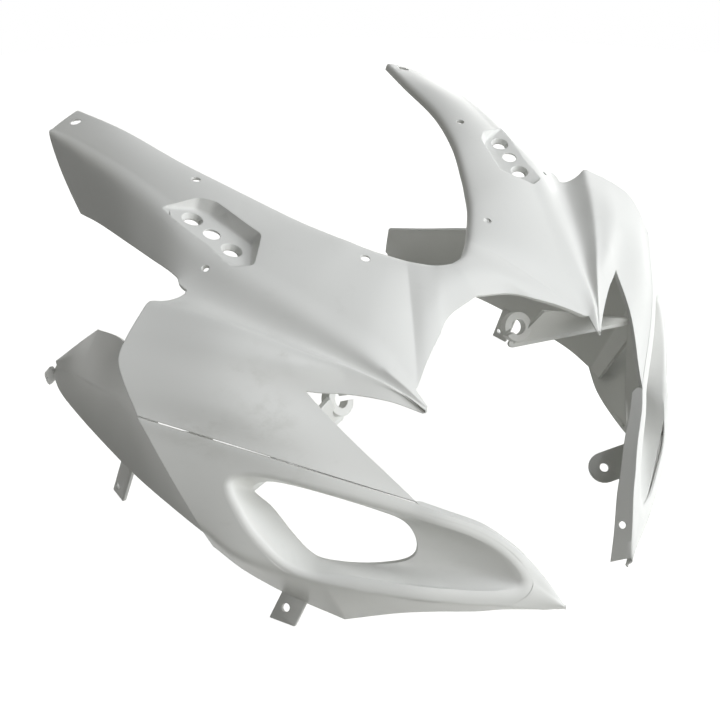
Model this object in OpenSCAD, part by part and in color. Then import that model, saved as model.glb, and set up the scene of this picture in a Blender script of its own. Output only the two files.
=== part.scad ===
// Front fairing of a sport motorcycle, bare moulded plastic.
// The upper cowl carries the windscreen, the mirrors and the headlight. An intake panel hangs
// under each cheek, and a rear panel runs back from it along the side of the engine.
// Millimetres. +X is the rider's left, -Y points forward, +Z is up.
// Shape stations are measured from the point midway between the two mirror bolt groups.

/* [Overall size] */
// Width across the two cheeks
overall_w = 499; // [440:1:540]
// Length from the chin to the rear loops
overall_l = 519; // [460:1:570]
// Height from the lowest tab to the wing tips
overall_h = 279; // [250:1:310]

/* [Walls] */
// Thickness of the moulded panels
wall = 3; // [2.4:0.1:3.4]
// Gap between two panels that lap or butt
fit_gap = 0.8; // [0.6:0.1:1.2]
// Drop of the turned lip round the windscreen opening
lip_drop = 5; // [3:0.5:7]
// Rise of the hood between the windscreen edge and the crease
hood_crown = 3; // [0:0.5:6]
// Swell of the cheek between the shoulder and the seam
cheek_swell = 3; // [0:0.5:6]
// Bow of the rear end of each wing
wing_end_bow = 8; // [0:1:12]
// Swell of the intake panel between its two edges
panel_swell = 2; // [0:0.5:5]
// Height of the bevel along the top of the intake panel, as seen on its face
bevel_h = 9; // [5:0.5:12]

/* [Mirror seats] */
// Distance between the two outer mirror bolts
mirror_bolt_spacing = 39; // [34:0.5:42]
// Bore of the two outer mirror bolt bosses
mirror_bolt_d = 15; // [12:0.5:16]
// Wall round the mirror bolt bosses
mirror_boss_wall = 2; // [1.5:0.25:3]
// Length of the mirror bolt bosses under the seat
mirror_boss_l = 1.5; // [1:0.5:8]
// Bore of the middle mirror hole
mirror_pin_d = 12; // [8:0.5:14]
// Length of the sunk mirror seat
seat_l = 80; // [76:1:88]
// Width of the sunk mirror seat
seat_w = 37; // [34:1:42]
// Outward draft of the seat walls
seat_draft = 2.5; // [1:0.5:4]

/* [Screw holes] */
// Windscreen screw holes
screen_hole_d = 6; // [4:0.5:8]
// Small screw hole low on each wing
wing_hole_d = 4.2; // [3:0.2:6]
// Holes in the mounting tabs
tab_hole_d = 6; // [4:0.5:8]

/* [Intake scoops] */
// Length of the scoop recess along the panel
scoop_l = 208; // [190:1:216]
// Height of the scoop recess
scoop_h = 54; // [48:1:58]
// Depth from the panel face to the duct mouth
scoop_depth = 18; // [10:1:24]
// Length of the duct mouth
duct_l = 114; // [100:1:120]
// Height of the duct mouth
duct_h = 40; // [34:1:44]

/* [Tabs and brackets] */
// Width of the flat mounting tabs
tab_w = 20; // [16:1:24]
// Thickness of the tabs and brackets
tab_t = 3; // [2:0.25:4]
// How far a tab runs up the back of its panel
tab_root = 5; // [3:1:8]
// Width of the loops at the tails
tail_loop_w = 13; // [11:0.5:16]
// Bore of the headlight clamp loops
loop_d = 13; // [9:0.5:16]
// Wall round the headlight clamp loops
loop_wall = 6; // [4:0.5:8]
// Bore of the lower headlight ears
ear_hole_d = 7; // [5:0.5:9]

/* [Hidden] */
plastic = "WhiteSmoke";
$fn = 32;

// Stretch of the stations when an overall size changes
NOMINAL = [499, 519, 279];
stretch = [overall_w / NOMINAL[0], overall_l / NOMINAL[1], overall_h / NOMINAL[2]];
// The mirror point above the ground and behind the middle of the length
mirror_point = [0, -4, 231];

// Station rows of the upper cowl, rider's left half.
// Rows 0 to 4 run along the wing, 5 is the rear end of the valley, 7 the corner of the notch,
// 9 the root of the brow spur, and from there rows follow the brow to the middle.
screen_edge = [[158, 186, 47.5], [141, 136, 40], [125, 76, 28], [105, 29, 15], [83, -8, 1],
               [70, -27, -6], [59, -42, -11], [50, -52, -15.5], [39, -63, -20], [30, -71.5, -23],
               [23, -77, -25], [16, -82, -27], [9, -85.5, -28], [0, -87, -29]];
crease = [[188, 178, 39], [183, 128, 35.5], [176, 79, 29], [167.5, 33, 16], [161, -10, -2],
          [150, -37, -11.5], [134, -67, -25], [121, -92, -37], [107, -119, -50.5],
          [94.5, -145, -66], [85, -160.5, -81.5]];
valley = [[200, 98, -2], [196, 73, -3], [191, 37, -7], [186, 10, -11.5], [182, -15, -15],
          [181, -28, -21], [157, -66, -36], [136, -94, -46.5], [115, -122, -59],
          [98, -145.5, -70], [85.5, -161.5, -84.5]];
// From row 5 on
shoulder = [[209, -31, -17.5], [178, -68, -28], [149, -99, -42], [122, -124, -54.5],
            [101, -145, -68.5], [87, -161.5, -84]];
cheek_line = [[245, -56, -37], [199, -92, -49], [151, -121, -64], [127, -134, -69],
              [105, -148, -76], [87.5, -160.5, -85.5]];
seam = [[246, -81, -65], [180, -140.5, -93.5], [114, -187, -127.5]];
// From row 9 on: the brow edge towards the middle, and the inner edge of the spur to its tip
brow_edge = [[82.5, -148.5, -73], [65, -138, -63.5], [47, -128.5, -56], [29, -119, -50],
             [0, -115, -45]];
spur_edge = [[85, -149.5, -73.5], [83.5, -160, -82]];

ROW_VALLEY = 5;
ROW_NOTCH = 7;
ROW_SPUR = 9;
ROW_TIP = 10;
ROW_MIDDLE = 13;

function place(p) =
    [for (k = [0:2]) (p[k] + mirror_point[k]) * stretch[k]];
function unit(v) = v / norm(v);
function square_to(v, axis) = unit(v - axis * (v * axis));
function mix(a, b, t) = a + (b - a) * t;
function clamp01(t) = max(0, min(1, t));
function bump(t) = 4 * clamp01(t) * (1 - clamp01(t));

// Point of a smooth curve through the list p at station s
function knot(p, i) =
    i < 0 ? 2 * p[0] - p[1] : i >= len(p) ? 2 * p[len(p) - 1] - p[len(p) - 2] : p[i];
function blend4(a, b, c, d, t) =
    0.5 * (2 * b + (c - a) * t + (2 * a - 5 * b + 4 * c - d) * t * t
           + (3 * b - a - 3 * c + d) * t * t * t);
function curve(p, s) =
    let (i = max(0, min(floor(s), len(p) - 2)))
    blend4(knot(p, i - 1), p[i], p[i + 1], knot(p, i + 2), s - i);

// Columns of the cowl surface at row s
BROW_SHARE = 0.86;
SPUR_SHARE = 0.9;
function to_crease(s, share) = mix(curve(screen_edge, s), curve(crease, s), share);
function brow_column(s) =
    s >= ROW_SPUR ? curve(brow_edge, s - ROW_SPUR)
    : mix(to_crease(s, BROW_SHARE), brow_edge[0], pow(clamp01(s - ROW_SPUR + 1), 2));
function spur_column(s) =
    s >= ROW_SPUR ? curve(spur_edge, s - ROW_SPUR)
    : mix(to_crease(s, SPUR_SHARE), spur_edge[0], pow(clamp01(s - ROW_SPUR + 1), 2));
function past_valley(p, s) = curve(p, max(0, s - ROW_VALLEY));

function lip_point(s) =
    let (edge = curve(screen_edge, s), out = edge - brow_column(s))
    edge + unit([out[0], out[1], 0]) * 2 - [0, 0, lip_drop];
function hood_point(s, t) =
    mix(curve(screen_edge, s), brow_column(s), t) + [0, 0, hood_crown * bump(t)];
function valley_point(s, t) =
    let (edges = [curve(crease, s), curve(valley, s), past_valley(shoulder, s)],
         flat = mix(edges[0], edges[1], min(t, 1)) + [0, wing_end_bow * bump(t) * clamp01(1 - s), 0],
         hollow = curve(edges, t))
    t > 1 ? hollow : mix(flat, hollow, clamp01(s - ROW_VALLEY + 1));
function cheek_point(s, t) =
    let (edges = [past_valley(shoulder, s), past_valley(cheek_line, s),
                  curve(seam, max(0, min(2, s - ROW_VALLEY)))],
         swell = cheek_swell * clamp01(ROW_NOTCH + 1 - s) * abs(sin(180 * t)))
    curve(edges, t) + unit([6, -5, 5]) * swell;

HOOD_CELLS = 4;
SIDE_CELLS = 3;
rise = [for (k = [0:HOOD_CELLS]) k / HOOD_CELLS];
function cowl_row(s) = concat(
    [lip_point(s)],
    [for (t = rise) hood_point(s, t)],
    [spur_column(s)],
    [for (k = [0:SIDE_CELLS]) valley_point(s, k / SIDE_CELLS)],
    [for (k = [1:SIDE_CELLS]) valley_point(s, 1 + k / SIDE_CELLS)],
    [for (k = [1:2 * SIDE_CELLS]) cheek_point(s, k / SIDE_CELLS)]);
COL_BROW = HOOD_CELLS + 1;
COL_VALLEY = COL_BROW + 2 + SIDE_CELLS;
COL_CHEEK = COL_VALLEY + 2 * SIDE_CELLS;
COL_SEAM = COL_CHEEK + SIDE_CELLS;

ROW_STEPS = 3;
half_rows = [for (k = [0:ROW_MIDDLE * ROW_STEPS]) k / ROW_STEPS];
all_rows = concat(half_rows, [for (k = [len(half_rows) - 2:-1:0]) half_rows[k]]);
function side_of(i) = i < len(half_rows) ? 1 : -1;
function mirrored(p, side) = [p[0] * side, p[1], p[2]];
cowl_grid = [for (i = [0:len(all_rows) - 1])
    [for (p = cowl_row(all_rows[i])) place(mirrored(p, side_of(i)))]];

// Which cells of the cowl grid are plastic, by the row in the middle of the cell
function cowl_cell(s, j) =
    j == COL_BROW ? s < ROW_SPUR
    : j < COL_BROW ? true
    : s > ROW_TIP ? false
    : s > ROW_NOTCH ? j < COL_CHEEK
    : s > ROW_VALLEY ? j < COL_SEAM
    : j < COL_VALLEY;
// The wall thins out towards the tip of the spur
function cowl_wall(s, j) =
    j <= COL_BROW ? wall : mix(wall, 1, clamp01(s - ROW_SPUR + 1));

// A wall over a grid of outer points: present says which cells exist, depth how thick they are
module sheet(grid, present, depth) {
    n = len(grid);
    m = len(grid[0]);
    ok = function(i, j) i >= 0 && j >= 0 && i < n - 1 && j < m - 1 && present(i, j);
    step = function(i, j, a, b, on) on ? grid[i + a][j + b] : grid[i][j];
    normal = function(i, j)
        let (along = step(i, j, 1, 0, ok(i, j) || ok(i, j - 1))
                   - step(i, j, -1, 0, ok(i - 1, j) || ok(i - 1, j - 1)),
             across = step(i, j, 0, 1, ok(i, j) || ok(i - 1, j))
                    - step(i, j, 0, -1, ok(i, j - 1) || ok(i - 1, j - 1)),
             n = cross(along, across))
        norm(n) < 1e-9 ? [0, 0, 1] : unit(n);
    used = function(i, j) ok(i, j) || ok(i - 1, j) || ok(i, j - 1) || ok(i - 1, j - 1);
    outer = [for (i = [0:n - 1]) for (j = [0:m - 1]) used(i, j) ? grid[i][j] : grid[0][0]];
    inner = [for (i = [0:n - 1]) for (j = [0:m - 1])
        used(i, j) ? grid[i][j] - normal(i, j) * depth(i, j) : grid[0][0]];
    id = function(i, j) i * m + j;
    under = n * m;
    cells = [for (i = [0:n - 2]) for (j = [0:m - 2]) if (ok(i, j))
        [id(i, j), id(i + 1, j), id(i + 1, j + 1), id(i, j + 1)]];
    edges = [for (i = [0:n - 2]) for (j = [0:m - 2]) if (ok(i, j)) each [
        if (!ok(i - 1, j)) [id(i, j), id(i, j + 1)],
        if (!ok(i + 1, j)) [id(i + 1, j + 1), id(i + 1, j)],
        if (!ok(i, j - 1)) [id(i + 1, j), id(i, j)],
        if (!ok(i, j + 1)) [id(i, j + 1), id(i + 1, j + 1)]]];
    faces = concat(
        [for (c = cells) each [[c[0], c[2], c[1]], [c[0], c[3], c[2]]]],
        [for (c = cells) each [[c[0], c[1], c[2]] + [under, under, under],
                               [c[0], c[2], c[3]] + [under, under, under]]],
        [for (e = edges) each [[e[0], e[0] + under, e[1]],
                               [e[1], e[0] + under, e[1] + under]]]);
    polyhedron(points = concat(outer, inner), faces = faces, convexity = 10);
}

module both_sides() {
    children();
    mirror([1, 0, 0]) children();
}

// Local frame with its origin at o and its axes along u, v and w
module in_frame(o, u, v, w) {
    multmatrix([for (k = [0:2]) [u[k], v[k], w[k], o[k]]]) children();
}

// Mirror seat: a flat facet sunk into the hood, open at the crease
seat_centre = place([145, 0, 0]);
seat_along = unit([0.256, 0.897, 0.359]);
seat_out = square_to([0.952, -0.299, 0.067], seat_along);
seat_normal = cross(seat_out, seat_along);
seat_rise = 14;
// How far under the hood the seat's walls may reach
seat_reach = 20;
seat_outline = [[0.5, 0.33], [0.34, -0.3], [0.22, -0.45], [-0.28, -0.5], [-0.5, 0.05],
                [-0.42, 0.36], [-0.3, 0.55], [0.3, 0.6]];

module seat_shape(grow) {
    offset(delta = grow)
        polygon([for (p = seat_outline) [p[1] * seat_w, p[0] * seat_l]]);
}

module seat_solid(grow, floor_z) {
    hull() {
        translate([0, 0, floor_z]) linear_extrude(0.1) seat_shape(grow);
        translate([0, 0, seat_rise]) linear_extrude(0.1) seat_shape(grow + seat_draft * 2);
    }
}

module at_mirror_bolts() {
    for (side = [-1, 1]) translate([0, side * mirror_bolt_spacing / 2, 0]) children();
}

module in_seat() {
    both_sides() in_frame(seat_centre, seat_out, seat_along, seat_normal) children();
}

module cowl_sheet(extra) {
    sheet(cowl_grid,
          function(i, j) cowl_cell((all_rows[i] + all_rows[i + 1]) / 2, j),
          function(i, j) cowl_wall(all_rows[i], j) + extra);
}

// Screw holes: a point on the surface and the direction of the bore
screen_holes = [[167, 170, 46], [129.5, 47.8, 21.7], [59.5, -62, -19]];
wing_hole = [[163, -24, -14]];

module bore(at, dir, d, reach) {
    translate(place(at)) rotate([0, acos(dir[2]), atan2(dir[1], dir[0])])
        cylinder(h = reach, d = d, center = true);
}

module upper_cowl() {
    color(plastic) difference() {
        union() {
            difference() {
                cowl_sheet(0);
                in_seat() seat_solid(0, 0);
            }
            intersection() {
                cowl_sheet(seat_reach);
                in_seat() difference() {
                    seat_solid(wall, -wall);
                    seat_solid(0, 0);
                }
            }
            in_seat() at_mirror_bolts() translate([0, 0, -wall - mirror_boss_l])
                cylinder(h = mirror_boss_l + wall / 2, d = mirror_bolt_d + 2 * mirror_boss_wall);
        }
        in_seat() {
            at_mirror_bolts() cylinder(h = 40, d = mirror_bolt_d, center = true);
            cylinder(h = 40, d = mirror_pin_d, center = true);
        }
        both_sides() {
            for (at = screen_holes) bore(at, unit([0.1, -0.3, 1]), screen_hole_d, 24);
            for (at = wing_hole) bore(at, unit([0.5, -0.2, 1]), wing_hole_d, 24);
        }
    }
}

// Stations of the intake panel, rider's left: 0 at the rear edge, 4 at the tip of the cheek,
// 10 at the chin. The top edge follows the seam up to station 4.
front_edge = [[114, -187.4, -128], [98, -200.5, -136.5], [77, -215, -149], [63.5, -226, -162.5],
              [55, -233, -173.5], [43.5, -244.5, -193.5], [34.5, -253, -213]];
fold_line = [[232, -125, -134], [220, -140, -150], [199, -157, -162], [178.5, -175, -168.5],
             [158.5, -191, -176], [132, -209.5, -183], [105.5, -224, -192], [83, -235, -199],
             [68, -241.5, -205], [47, -248.5, -214], [31.5, -253, -217]];
bottom_edge = [[204, -74, -198], [192, -97, -211], [176, -132, -217], [159, -170, -217.5],
               [127, -188, -217], [105, -203, -217], [85, -218, -217], [69, -228, -217],
               [57, -237, -217], [43, -247.5, -217], [32.5, -254.5, -217.5]];
STATION_TIP = 4;
STATION_CHIN = 10;
panel_back = unit([0.731, 0.588, 0.346]);
panel_normal = square_to([0.498, -0.807, 0.319], panel_back);
panel_up = cross(panel_normal, panel_back);
// Run of the return behind the front edge, at the cheek and at the chin
return_run = [[-2, 8, -1], [-8, 10, -7]];

function top_edge(q) =
    (q <= STATION_TIP ? curve(seam, q / 2) : curve(front_edge, q - STATION_TIP))
    - panel_up * fit_gap;
function bevel_line(q) =
    let (top = top_edge(q), low = curve(fold_line, q), share = min(bevel_h / norm(low - top), 0.3))
    mix(top, low, share) + panel_normal * 6 * share;
function face_point(q, t) =
    mix(bevel_line(q), curve(fold_line, q), t) + panel_normal * panel_swell * bump(t);
FACE_CELLS = 4;
function return_point(q) =
    let (share = clamp01((q - STATION_TIP) / (STATION_CHIN - STATION_TIP)))
    top_edge(q) + mix(return_run[0], return_run[1], share);
function panel_row(q) = concat(
    [return_point(q), top_edge(q), mix(top_edge(q), bevel_line(q), 0.5) + panel_normal * 0.4],
    [for (k = [0:FACE_CELLS]) face_point(q, k / FACE_CELLS)],
    [for (t = [0.5, 1]) mix(curve(fold_line, q), curve(bottom_edge, q), t)]);
PANEL_STEPS = 3;
panel_rows = [for (k = [0:STATION_CHIN * PANEL_STEPS]) k / PANEL_STEPS];
panel_grid = [for (q = panel_rows) [for (p = panel_row(q)) place(p)]];

module panel_sheet() {
    sheet(panel_grid, function(i, j) j > 0 || panel_rows[i] > STATION_TIP,
          function(i, j) mix(wall, 1.2, clamp01(panel_rows[i] - STATION_CHIN + 1)));
}

// Solid between closed rings of equally many points
module loft(rings) {
    n = len(rings[0]);
    m = len(rings);
    polyhedron(points = [for (r = rings) each r],
               faces = concat([[for (k = [0:n - 1]) k]],
                              [[for (k = [n - 1:-1:0]) (m - 1) * n + k]],
                              [for (i = [0:m - 2]) for (k = [0:n - 1])
                                  let (a = i * n + k, b = i * n + (k + 1) % n)
                                  each [[a, a + n, b], [b, a + n, b + n]]]));
}

// Closed smooth outline through hand-chosen corners, each a share of length and height
rim_corners = [[-0.46, 0.26], [-0.4, 0.42], [-0.24, 0.47], [0.05, 0.49], [0.29, 0.48],
               [0.44, 0.33], [0.53, 0.07], [0.48, -0.18], [0.28, -0.33], [0.02, -0.46],
               [-0.18, -0.53], [-0.31, -0.33], [-0.41, -0.02]];
duct_corners = [[-0.69, 0.15], [-0.64, 0.35], [-0.44, 0.43], [0, 0.44], [0.2, 0.37],
                [0.31, 0.05], [0.28, -0.23], [0.07, -0.5], [-0.16, -0.63], [-0.27, -0.57],
                [-0.4, -0.35], [-0.55, -0.05]];
RING = 36;
function around(p, k) = p[(k + len(p)) % len(p)];
function closed_point(p, s) =
    let (i = floor(s)) blend4(around(p, i - 1), around(p, i), around(p, i + 1), around(p, i + 2), s - i);
function outline(corners, size, grow) =
    let (flat = [for (k = [0:RING - 1])
             let (c = closed_point(corners, (RING - k) * len(corners) / RING))
             [-c[0] * size[0], c[1] * size[1]]])
    [for (k = [0:RING - 1])
        let (d = around(flat, k + 1) - around(flat, k - 1)) flat[k] + unit([-d[1], d[0]]) * grow];
function at_depth(ring, z) = [for (p = ring) [p[0], p[1], z]];
// The face of the panel bows away from the flat plane of the scoop
function face_rise(p) =
    2 + 0.04 * p[0] - 0.09 * p[1] - 0.0004 * p[0] * p[0] + 0.0009 * p[0] * p[1];
function at_face(ring, z) = [for (p = ring) [p[0], p[1], face_rise(p) + z]];

scoop_centre = place([147.7, -181.2, -149.5]);
scoop_size = [scoop_l, scoop_h];
duct_size = [duct_l, duct_h];

module scoop_hollow() {
    loft([at_face(outline(rim_corners, scoop_size, 0), 8),
          at_face(outline(rim_corners, scoop_size, 0), 0),
          at_depth(outline(duct_corners, duct_size, 0), -scoop_depth),
          at_depth(outline(duct_corners, duct_size, 0), -scoop_depth - 30)]);
}

module scoop_cup() {
    loft([at_face(outline(rim_corners, scoop_size, wall), -wall / 2),
          at_depth(outline(duct_corners, duct_size, wall), -scoop_depth - wall)]);
}

module in_scoop() {
    in_frame(scoop_centre, panel_back, panel_up, panel_normal) children();
}

// Tab on the lower edge of the flank, and the ear that carries the foot of the headlight
flank_tab_at = place([176.5, -136, -215.5]);
flank_tab_fall = [12, -1, -13.7];
flank_tab_along = [0.46, 0.88, 0];
ear_hole = place([77, -191, -187]);
ear_root = place([101, -202, -180]);
ear_facing = [-0.2, -0.6, 0.8];
ear_w = 24;

module ear() {
    run = unit(ear_root - ear_hole);
    face = square_to(ear_facing, run);
    difference() {
        strap(ear_hole, ear_root, ear_facing, ear_w);
        in_frame(ear_hole, run, cross(face, run), face)
            cylinder(h = tab_t * 3, d = ear_hole_d, center = true);
    }
}

module intake_panel() {
    color(plastic) difference() {
        union() {
            panel_sheet();
            ear();
            tab(flank_tab_at, flank_tab_fall, flank_tab_along);
            in_scoop() scoop_cup();
        }
        in_scoop() scoop_hollow();
    }
}

// Stations of the rear panel, rider's left: 0 at the rear edge of the intake panel, then back
// to the tail. The lap is its front edge, which lies behind the intake panel.
rear_top = [[236, -78, -78], [214, -20, -86], [198, 40, -96], [191, 88, -104], [185, 150, -125],
            [186, 200, -153], [200, 234, -180]];
rear_border = [[233, -98, -108], [221, -20, -116], [212, 45, -130], [209, 105, -151],
               [206, 150, -168], [203, 195, -184], [204, 232, -193]];
rear_bottom = [[200.6, -79.5, -195.6], [209, -40, -191.5], [216, 20, -191.5], [219, 80, -192],
               [219, 145, -195], [216, 195, -199], [209, 232, -200]];
rear_lap = [[206, -97, -88], [213, -123, -119], [193.5, -95, -196.5]];
rear_step = 4;
STATION_TAIL = 6;
function rear_section(top, border, low, step) =
    let (foot = mix(border, low, 0.12) - [step, 0, 0])
    [top, mix(top, border, 0.5) + [2, 0, 1], border, foot, mix(foot, low, 0.5), low];
function rear_row(q) =
    rear_section(curve(rear_top, q), curve(rear_border, q), curve(rear_bottom, q),
                 rear_step * min(1, (STATION_TAIL - q) / 2) * min(1, q));
REAR_STEPS = 3;
rear_rows = [for (k = [STATION_TAIL * REAR_STEPS:-1:0]) rear_row(k / REAR_STEPS)];
rear_grid = [for (row = concat(rear_rows, [rear_section(rear_lap[0], rear_lap[1], rear_lap[2], 0)]))
    [for (p = row) place(p)]];

// Tab on the lower edge and the loop at the tail
rear_tab_at = place([216.5, 42, -193]);
rear_tab_fall = [6, 18, -37.5];
tail_point = place(rear_bottom[STATION_TAIL] + [-1, 3, -2]);

module rear_panel() {
    color(plastic) union() {
        sheet(rear_grid, function(i, j) true, function(i, j) wall);
        tab(rear_tab_at, rear_tab_fall, [0, 1, 0]);
        tail_loop(tail_point, [22, -17]);
    }
}

// Flat tab with a hole. It hangs from hinge, the middle of its upper end, and reaches by fall.
// Its lower edge runs the same way as along.
module tab(hinge, fall, along) {
    side = unit(along);
    down = square_to(fall, side);
    drift = fall * side;
    reach = fall * down;
    in_frame(hinge, side, down, cross(side, down)) difference() {
        linear_extrude(tab_t) polygon([[-tab_w / 2, -tab_root], [tab_w / 2, -tab_root],
                                       [tab_w / 2 + drift, reach], [-tab_w / 2 + drift, reach]]);
        translate([drift, reach - tab_w / 2, -tab_t]) cylinder(h = tab_t * 3, d = tab_hole_d);
    }
}

// Flat bar with round ends, in the plane of its width, from the origin to reach
module bar_shape(reach, width) {
    rotate(atan2(reach[1], reach[0])) {
        translate([0, -width / 2]) square([norm(reach), width]);
        circle(d = width);
        translate([norm(reach), 0]) circle(d = width);
    }
}

// Oblong loop in the plane across x, from the point at back to the tail
module tail_loop(at, reach) {
    translate(at) rotate([90, 0, 90]) difference() {
        linear_extrude(tab_t, center = true) bar_shape(reach, tail_loop_w);
        translate([reach[0], reach[1], -tab_t]) cylinder(h = tab_t * 2, d = tab_hole_d);
    }
}

// Bar between two points, lying in the plane square to the facing direction
module strap(from, to, facing, width) {
    run = unit(to - from);
    face = square_to(facing, run);
    in_frame(from, run, cross(face, run), face)
        linear_extrude(tab_t, center = true) bar_shape([norm(to - from), 0], width);
}

// Flat web with its corners at three points
module web(a, b, c) {
    run = unit(b - a);
    face = unit(cross(b - a, c - a));
    rise = cross(face, run);
    in_frame(a, run, rise, face) linear_extrude(tab_t, center = true)
        polygon([[0, 0], [norm(b - a), 0], [(c - a) * run, (c - a) * rise]]);
}

// Headlight bracket: a split clamp loop on a web, with a strut to the lap of the rear panel
loop_centre = place([93, -73, -118]);
loop_axis = unit([-0.25, -0.85, 0.45]);
loop_depth = 8;
web_top = place([110, -86, -103]);
web_foot = place([91, -72, -134]);
strut_end = place([204.95, -114.4, -128.8]);
strut_facing = [0, -0.9, 0.4];
strut_w = 7;
split_w = 4;
split_turn = 190;

module in_loop() {
    across = square_to([1, 0, 0], loop_axis);
    in_frame(loop_centre, across, cross(loop_axis, across), loop_axis) children();
}

module headlight_bracket() {
    color(plastic) difference() {
        union() {
            in_loop() cylinder(h = loop_depth, d = loop_d + 2 * loop_wall, center = true);
            web(web_foot, strut_end, web_top);
            strap(web_foot, strut_end, strut_facing, strut_w);
        }
        in_loop() {
            cylinder(h = loop_depth * 3, d = loop_d, center = true);
            rotate(split_turn) translate([0, -split_w / 2, -loop_depth])
                cube([loop_d + loop_wall, split_w, loop_depth * 2]);
        }
    }
}

module on_right() {
    mirror([1, 0, 0]) children();
}

upper_cowl();
intake_panel();  // intake_panel_left
on_right() intake_panel();  // intake_panel_right
rear_panel();  // rear_panel_left
on_right() rear_panel();  // rear_panel_right
headlight_bracket();  // headlight_bracket_left
on_right() headlight_bracket();  // headlight_bracket_right
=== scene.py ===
"""Dressed model of a sport motorcycle's front fairing in bare moulded plastic.

Shapes repeat the stations of the solid model, in millimetres from the point midway between
the two mirror seats, and are worked out on much finer grids with rounded edges.
+X is the rider's left, -Y points forward and +Z is up.
"""
import logging
import math
from dataclasses import dataclass
from enum import Enum

import bpy
import mathutils
import numpy as np
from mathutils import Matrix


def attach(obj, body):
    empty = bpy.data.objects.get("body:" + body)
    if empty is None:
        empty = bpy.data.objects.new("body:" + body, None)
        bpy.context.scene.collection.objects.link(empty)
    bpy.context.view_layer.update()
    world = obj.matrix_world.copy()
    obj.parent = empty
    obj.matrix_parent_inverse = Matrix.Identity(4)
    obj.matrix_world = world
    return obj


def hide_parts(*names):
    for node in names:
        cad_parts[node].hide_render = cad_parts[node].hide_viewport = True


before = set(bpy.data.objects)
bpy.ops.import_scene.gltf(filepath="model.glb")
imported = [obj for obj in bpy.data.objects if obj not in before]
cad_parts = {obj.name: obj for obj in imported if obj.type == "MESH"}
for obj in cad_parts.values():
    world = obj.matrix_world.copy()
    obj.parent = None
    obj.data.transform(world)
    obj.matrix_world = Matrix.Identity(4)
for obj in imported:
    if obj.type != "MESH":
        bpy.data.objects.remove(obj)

LOG = logging.getLogger("fairing")
Array = np.ndarray
Face = tuple[int, ...]

METRE = 0.001
MIRROR_POINT = np.array([0.0, -4.0, 231.0])
WALL = 3.0
FIT_GAP = 0.8
TAB_THICKNESS = 3.0


class Side(Enum):
    """The rider's side that a moulding belongs to; the value multiplies x."""

    LEFT = 1
    RIGHT = -1


def place(points: Array) -> Array:
    """Move station points from the mirror point to the frame of the model.

    Args:
        points: Station points in millimetres, any shape ending in 3.

    Returns:
        The points in millimetres above the floor.
    """
    return np.asarray(points, float) + MIRROR_POINT


def unit(v: Array) -> Array:
    """Return vectors over the last axis divided by their length."""
    v = np.asarray(v, float)
    return v / np.maximum(np.linalg.norm(v, axis=-1, keepdims=True), 1e-12)


def square_to(v: Array, axis: Array) -> Array:
    """Return the part of v square to a unit axis, as a unit vector."""
    v = np.asarray(v, float)
    return unit(v - axis * float(v @ axis))


def clamp01(t: Array) -> Array:
    """Return t limited to 0 to 1."""
    return np.clip(t, 0.0, 1.0)


def bump(t: Array) -> Array:
    """Return the hump 4t(1-t), which is 0 at both ends and 1 in the middle."""
    t = clamp01(t)
    return 4.0 * t * (1.0 - t)


def mix(a: Array, b: Array, t: Array) -> Array:
    """Return the straight blend from a to b by share t."""
    return a + (b - a) * t


def ease(t: Array) -> Array:
    """Return the smooth step 3t^2 - 2t^3 of t limited to 0 to 1."""
    t = clamp01(t)
    return t * t * (3.0 - 2.0 * t)


def blend4(a: Array, b: Array, c: Array, d: Array, t: Array) -> Array:
    """Return the cubic through b and c whose end slopes are (c-a)/2 and (d-b)/2.

    Args:
        a: Point before the span.
        b: Start of the span.
        c: End of the span.
        d: Point after the span.
        t: Share of the span.

    Returns:
        The points of the cubic.
    """
    return 0.5 * (2 * b + (c - a) * t + (2 * a - 5 * b + 4 * c - d) * t * t
                  + (3 * b - a - 3 * c + d) * t ** 3)


def curve(points: Array, s: Array) -> Array:
    """Return points of the smooth curve through a list of stations.

    Args:
        points: Stations, shape (k, 3).
        s: Station numbers, where whole numbers fall on the stations.

    Returns:
        One point per station number. Past the ends the list goes on straight.
    """
    p = np.asarray(points, float)
    knots = np.vstack([2 * p[0] - p[1], p, 2 * p[-1] - p[-2]])
    s = np.asarray(s, float)
    i = np.clip(np.floor(s).astype(int), 0, len(p) - 2)
    return blend4(knots[i], knots[i + 1], knots[i + 2], knots[i + 3], (s - i)[..., None])


def cornered(points: Array, s: Array, corner: int) -> Array:
    """Return points of two smooth curves that meet in a corner at one station.

    Args:
        points: Stations, shape (k, 3).
        s: Station numbers.
        corner: Number of the station where the direction may break.

    Returns:
        One point per station number.
    """
    p, s = np.asarray(points, float), np.asarray(s, float)
    before = curve(p[:corner + 1], np.minimum(s, corner))
    after = curve(p[corner:], np.maximum(s - corner, 0))
    return np.where((s <= corner)[:, None], before, after)


def across(edges: list[Array], t: Array) -> Array:
    """Return the smooth sheet through lines that share their rows.

    Each row is the curve through its point on every line, as in curve().

    Args:
        edges: Lines of equal length, each of shape (n, 3).
        t: Line numbers, where whole numbers fall on the lines.

    Returns:
        A grid of shape (n, len(t), 3).
    """
    p = np.stack(edges)
    knots = np.concatenate([2 * p[:1] - p[1:2], p, 2 * p[-1:] - p[-2:-1]])
    i = np.clip(np.floor(t).astype(int), 0, len(p) - 2)
    sheet = blend4(knots[i], knots[i + 1], knots[i + 2], knots[i + 3], (t - i)[:, None, None])
    return sheet.transpose(1, 0, 2)


def steps(*spans: tuple[float, float, int]) -> Array:
    """Return numbers over spans that follow each other.

    Args:
        spans: Start, end and count of cells of each span.

    Returns:
        All the numbers, with the last end included.
    """
    parts = [np.linspace(a, b, n, endpoint=False) for a, b, n in spans]
    return np.concatenate(parts + [np.array([spans[-1][1]])])


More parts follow.
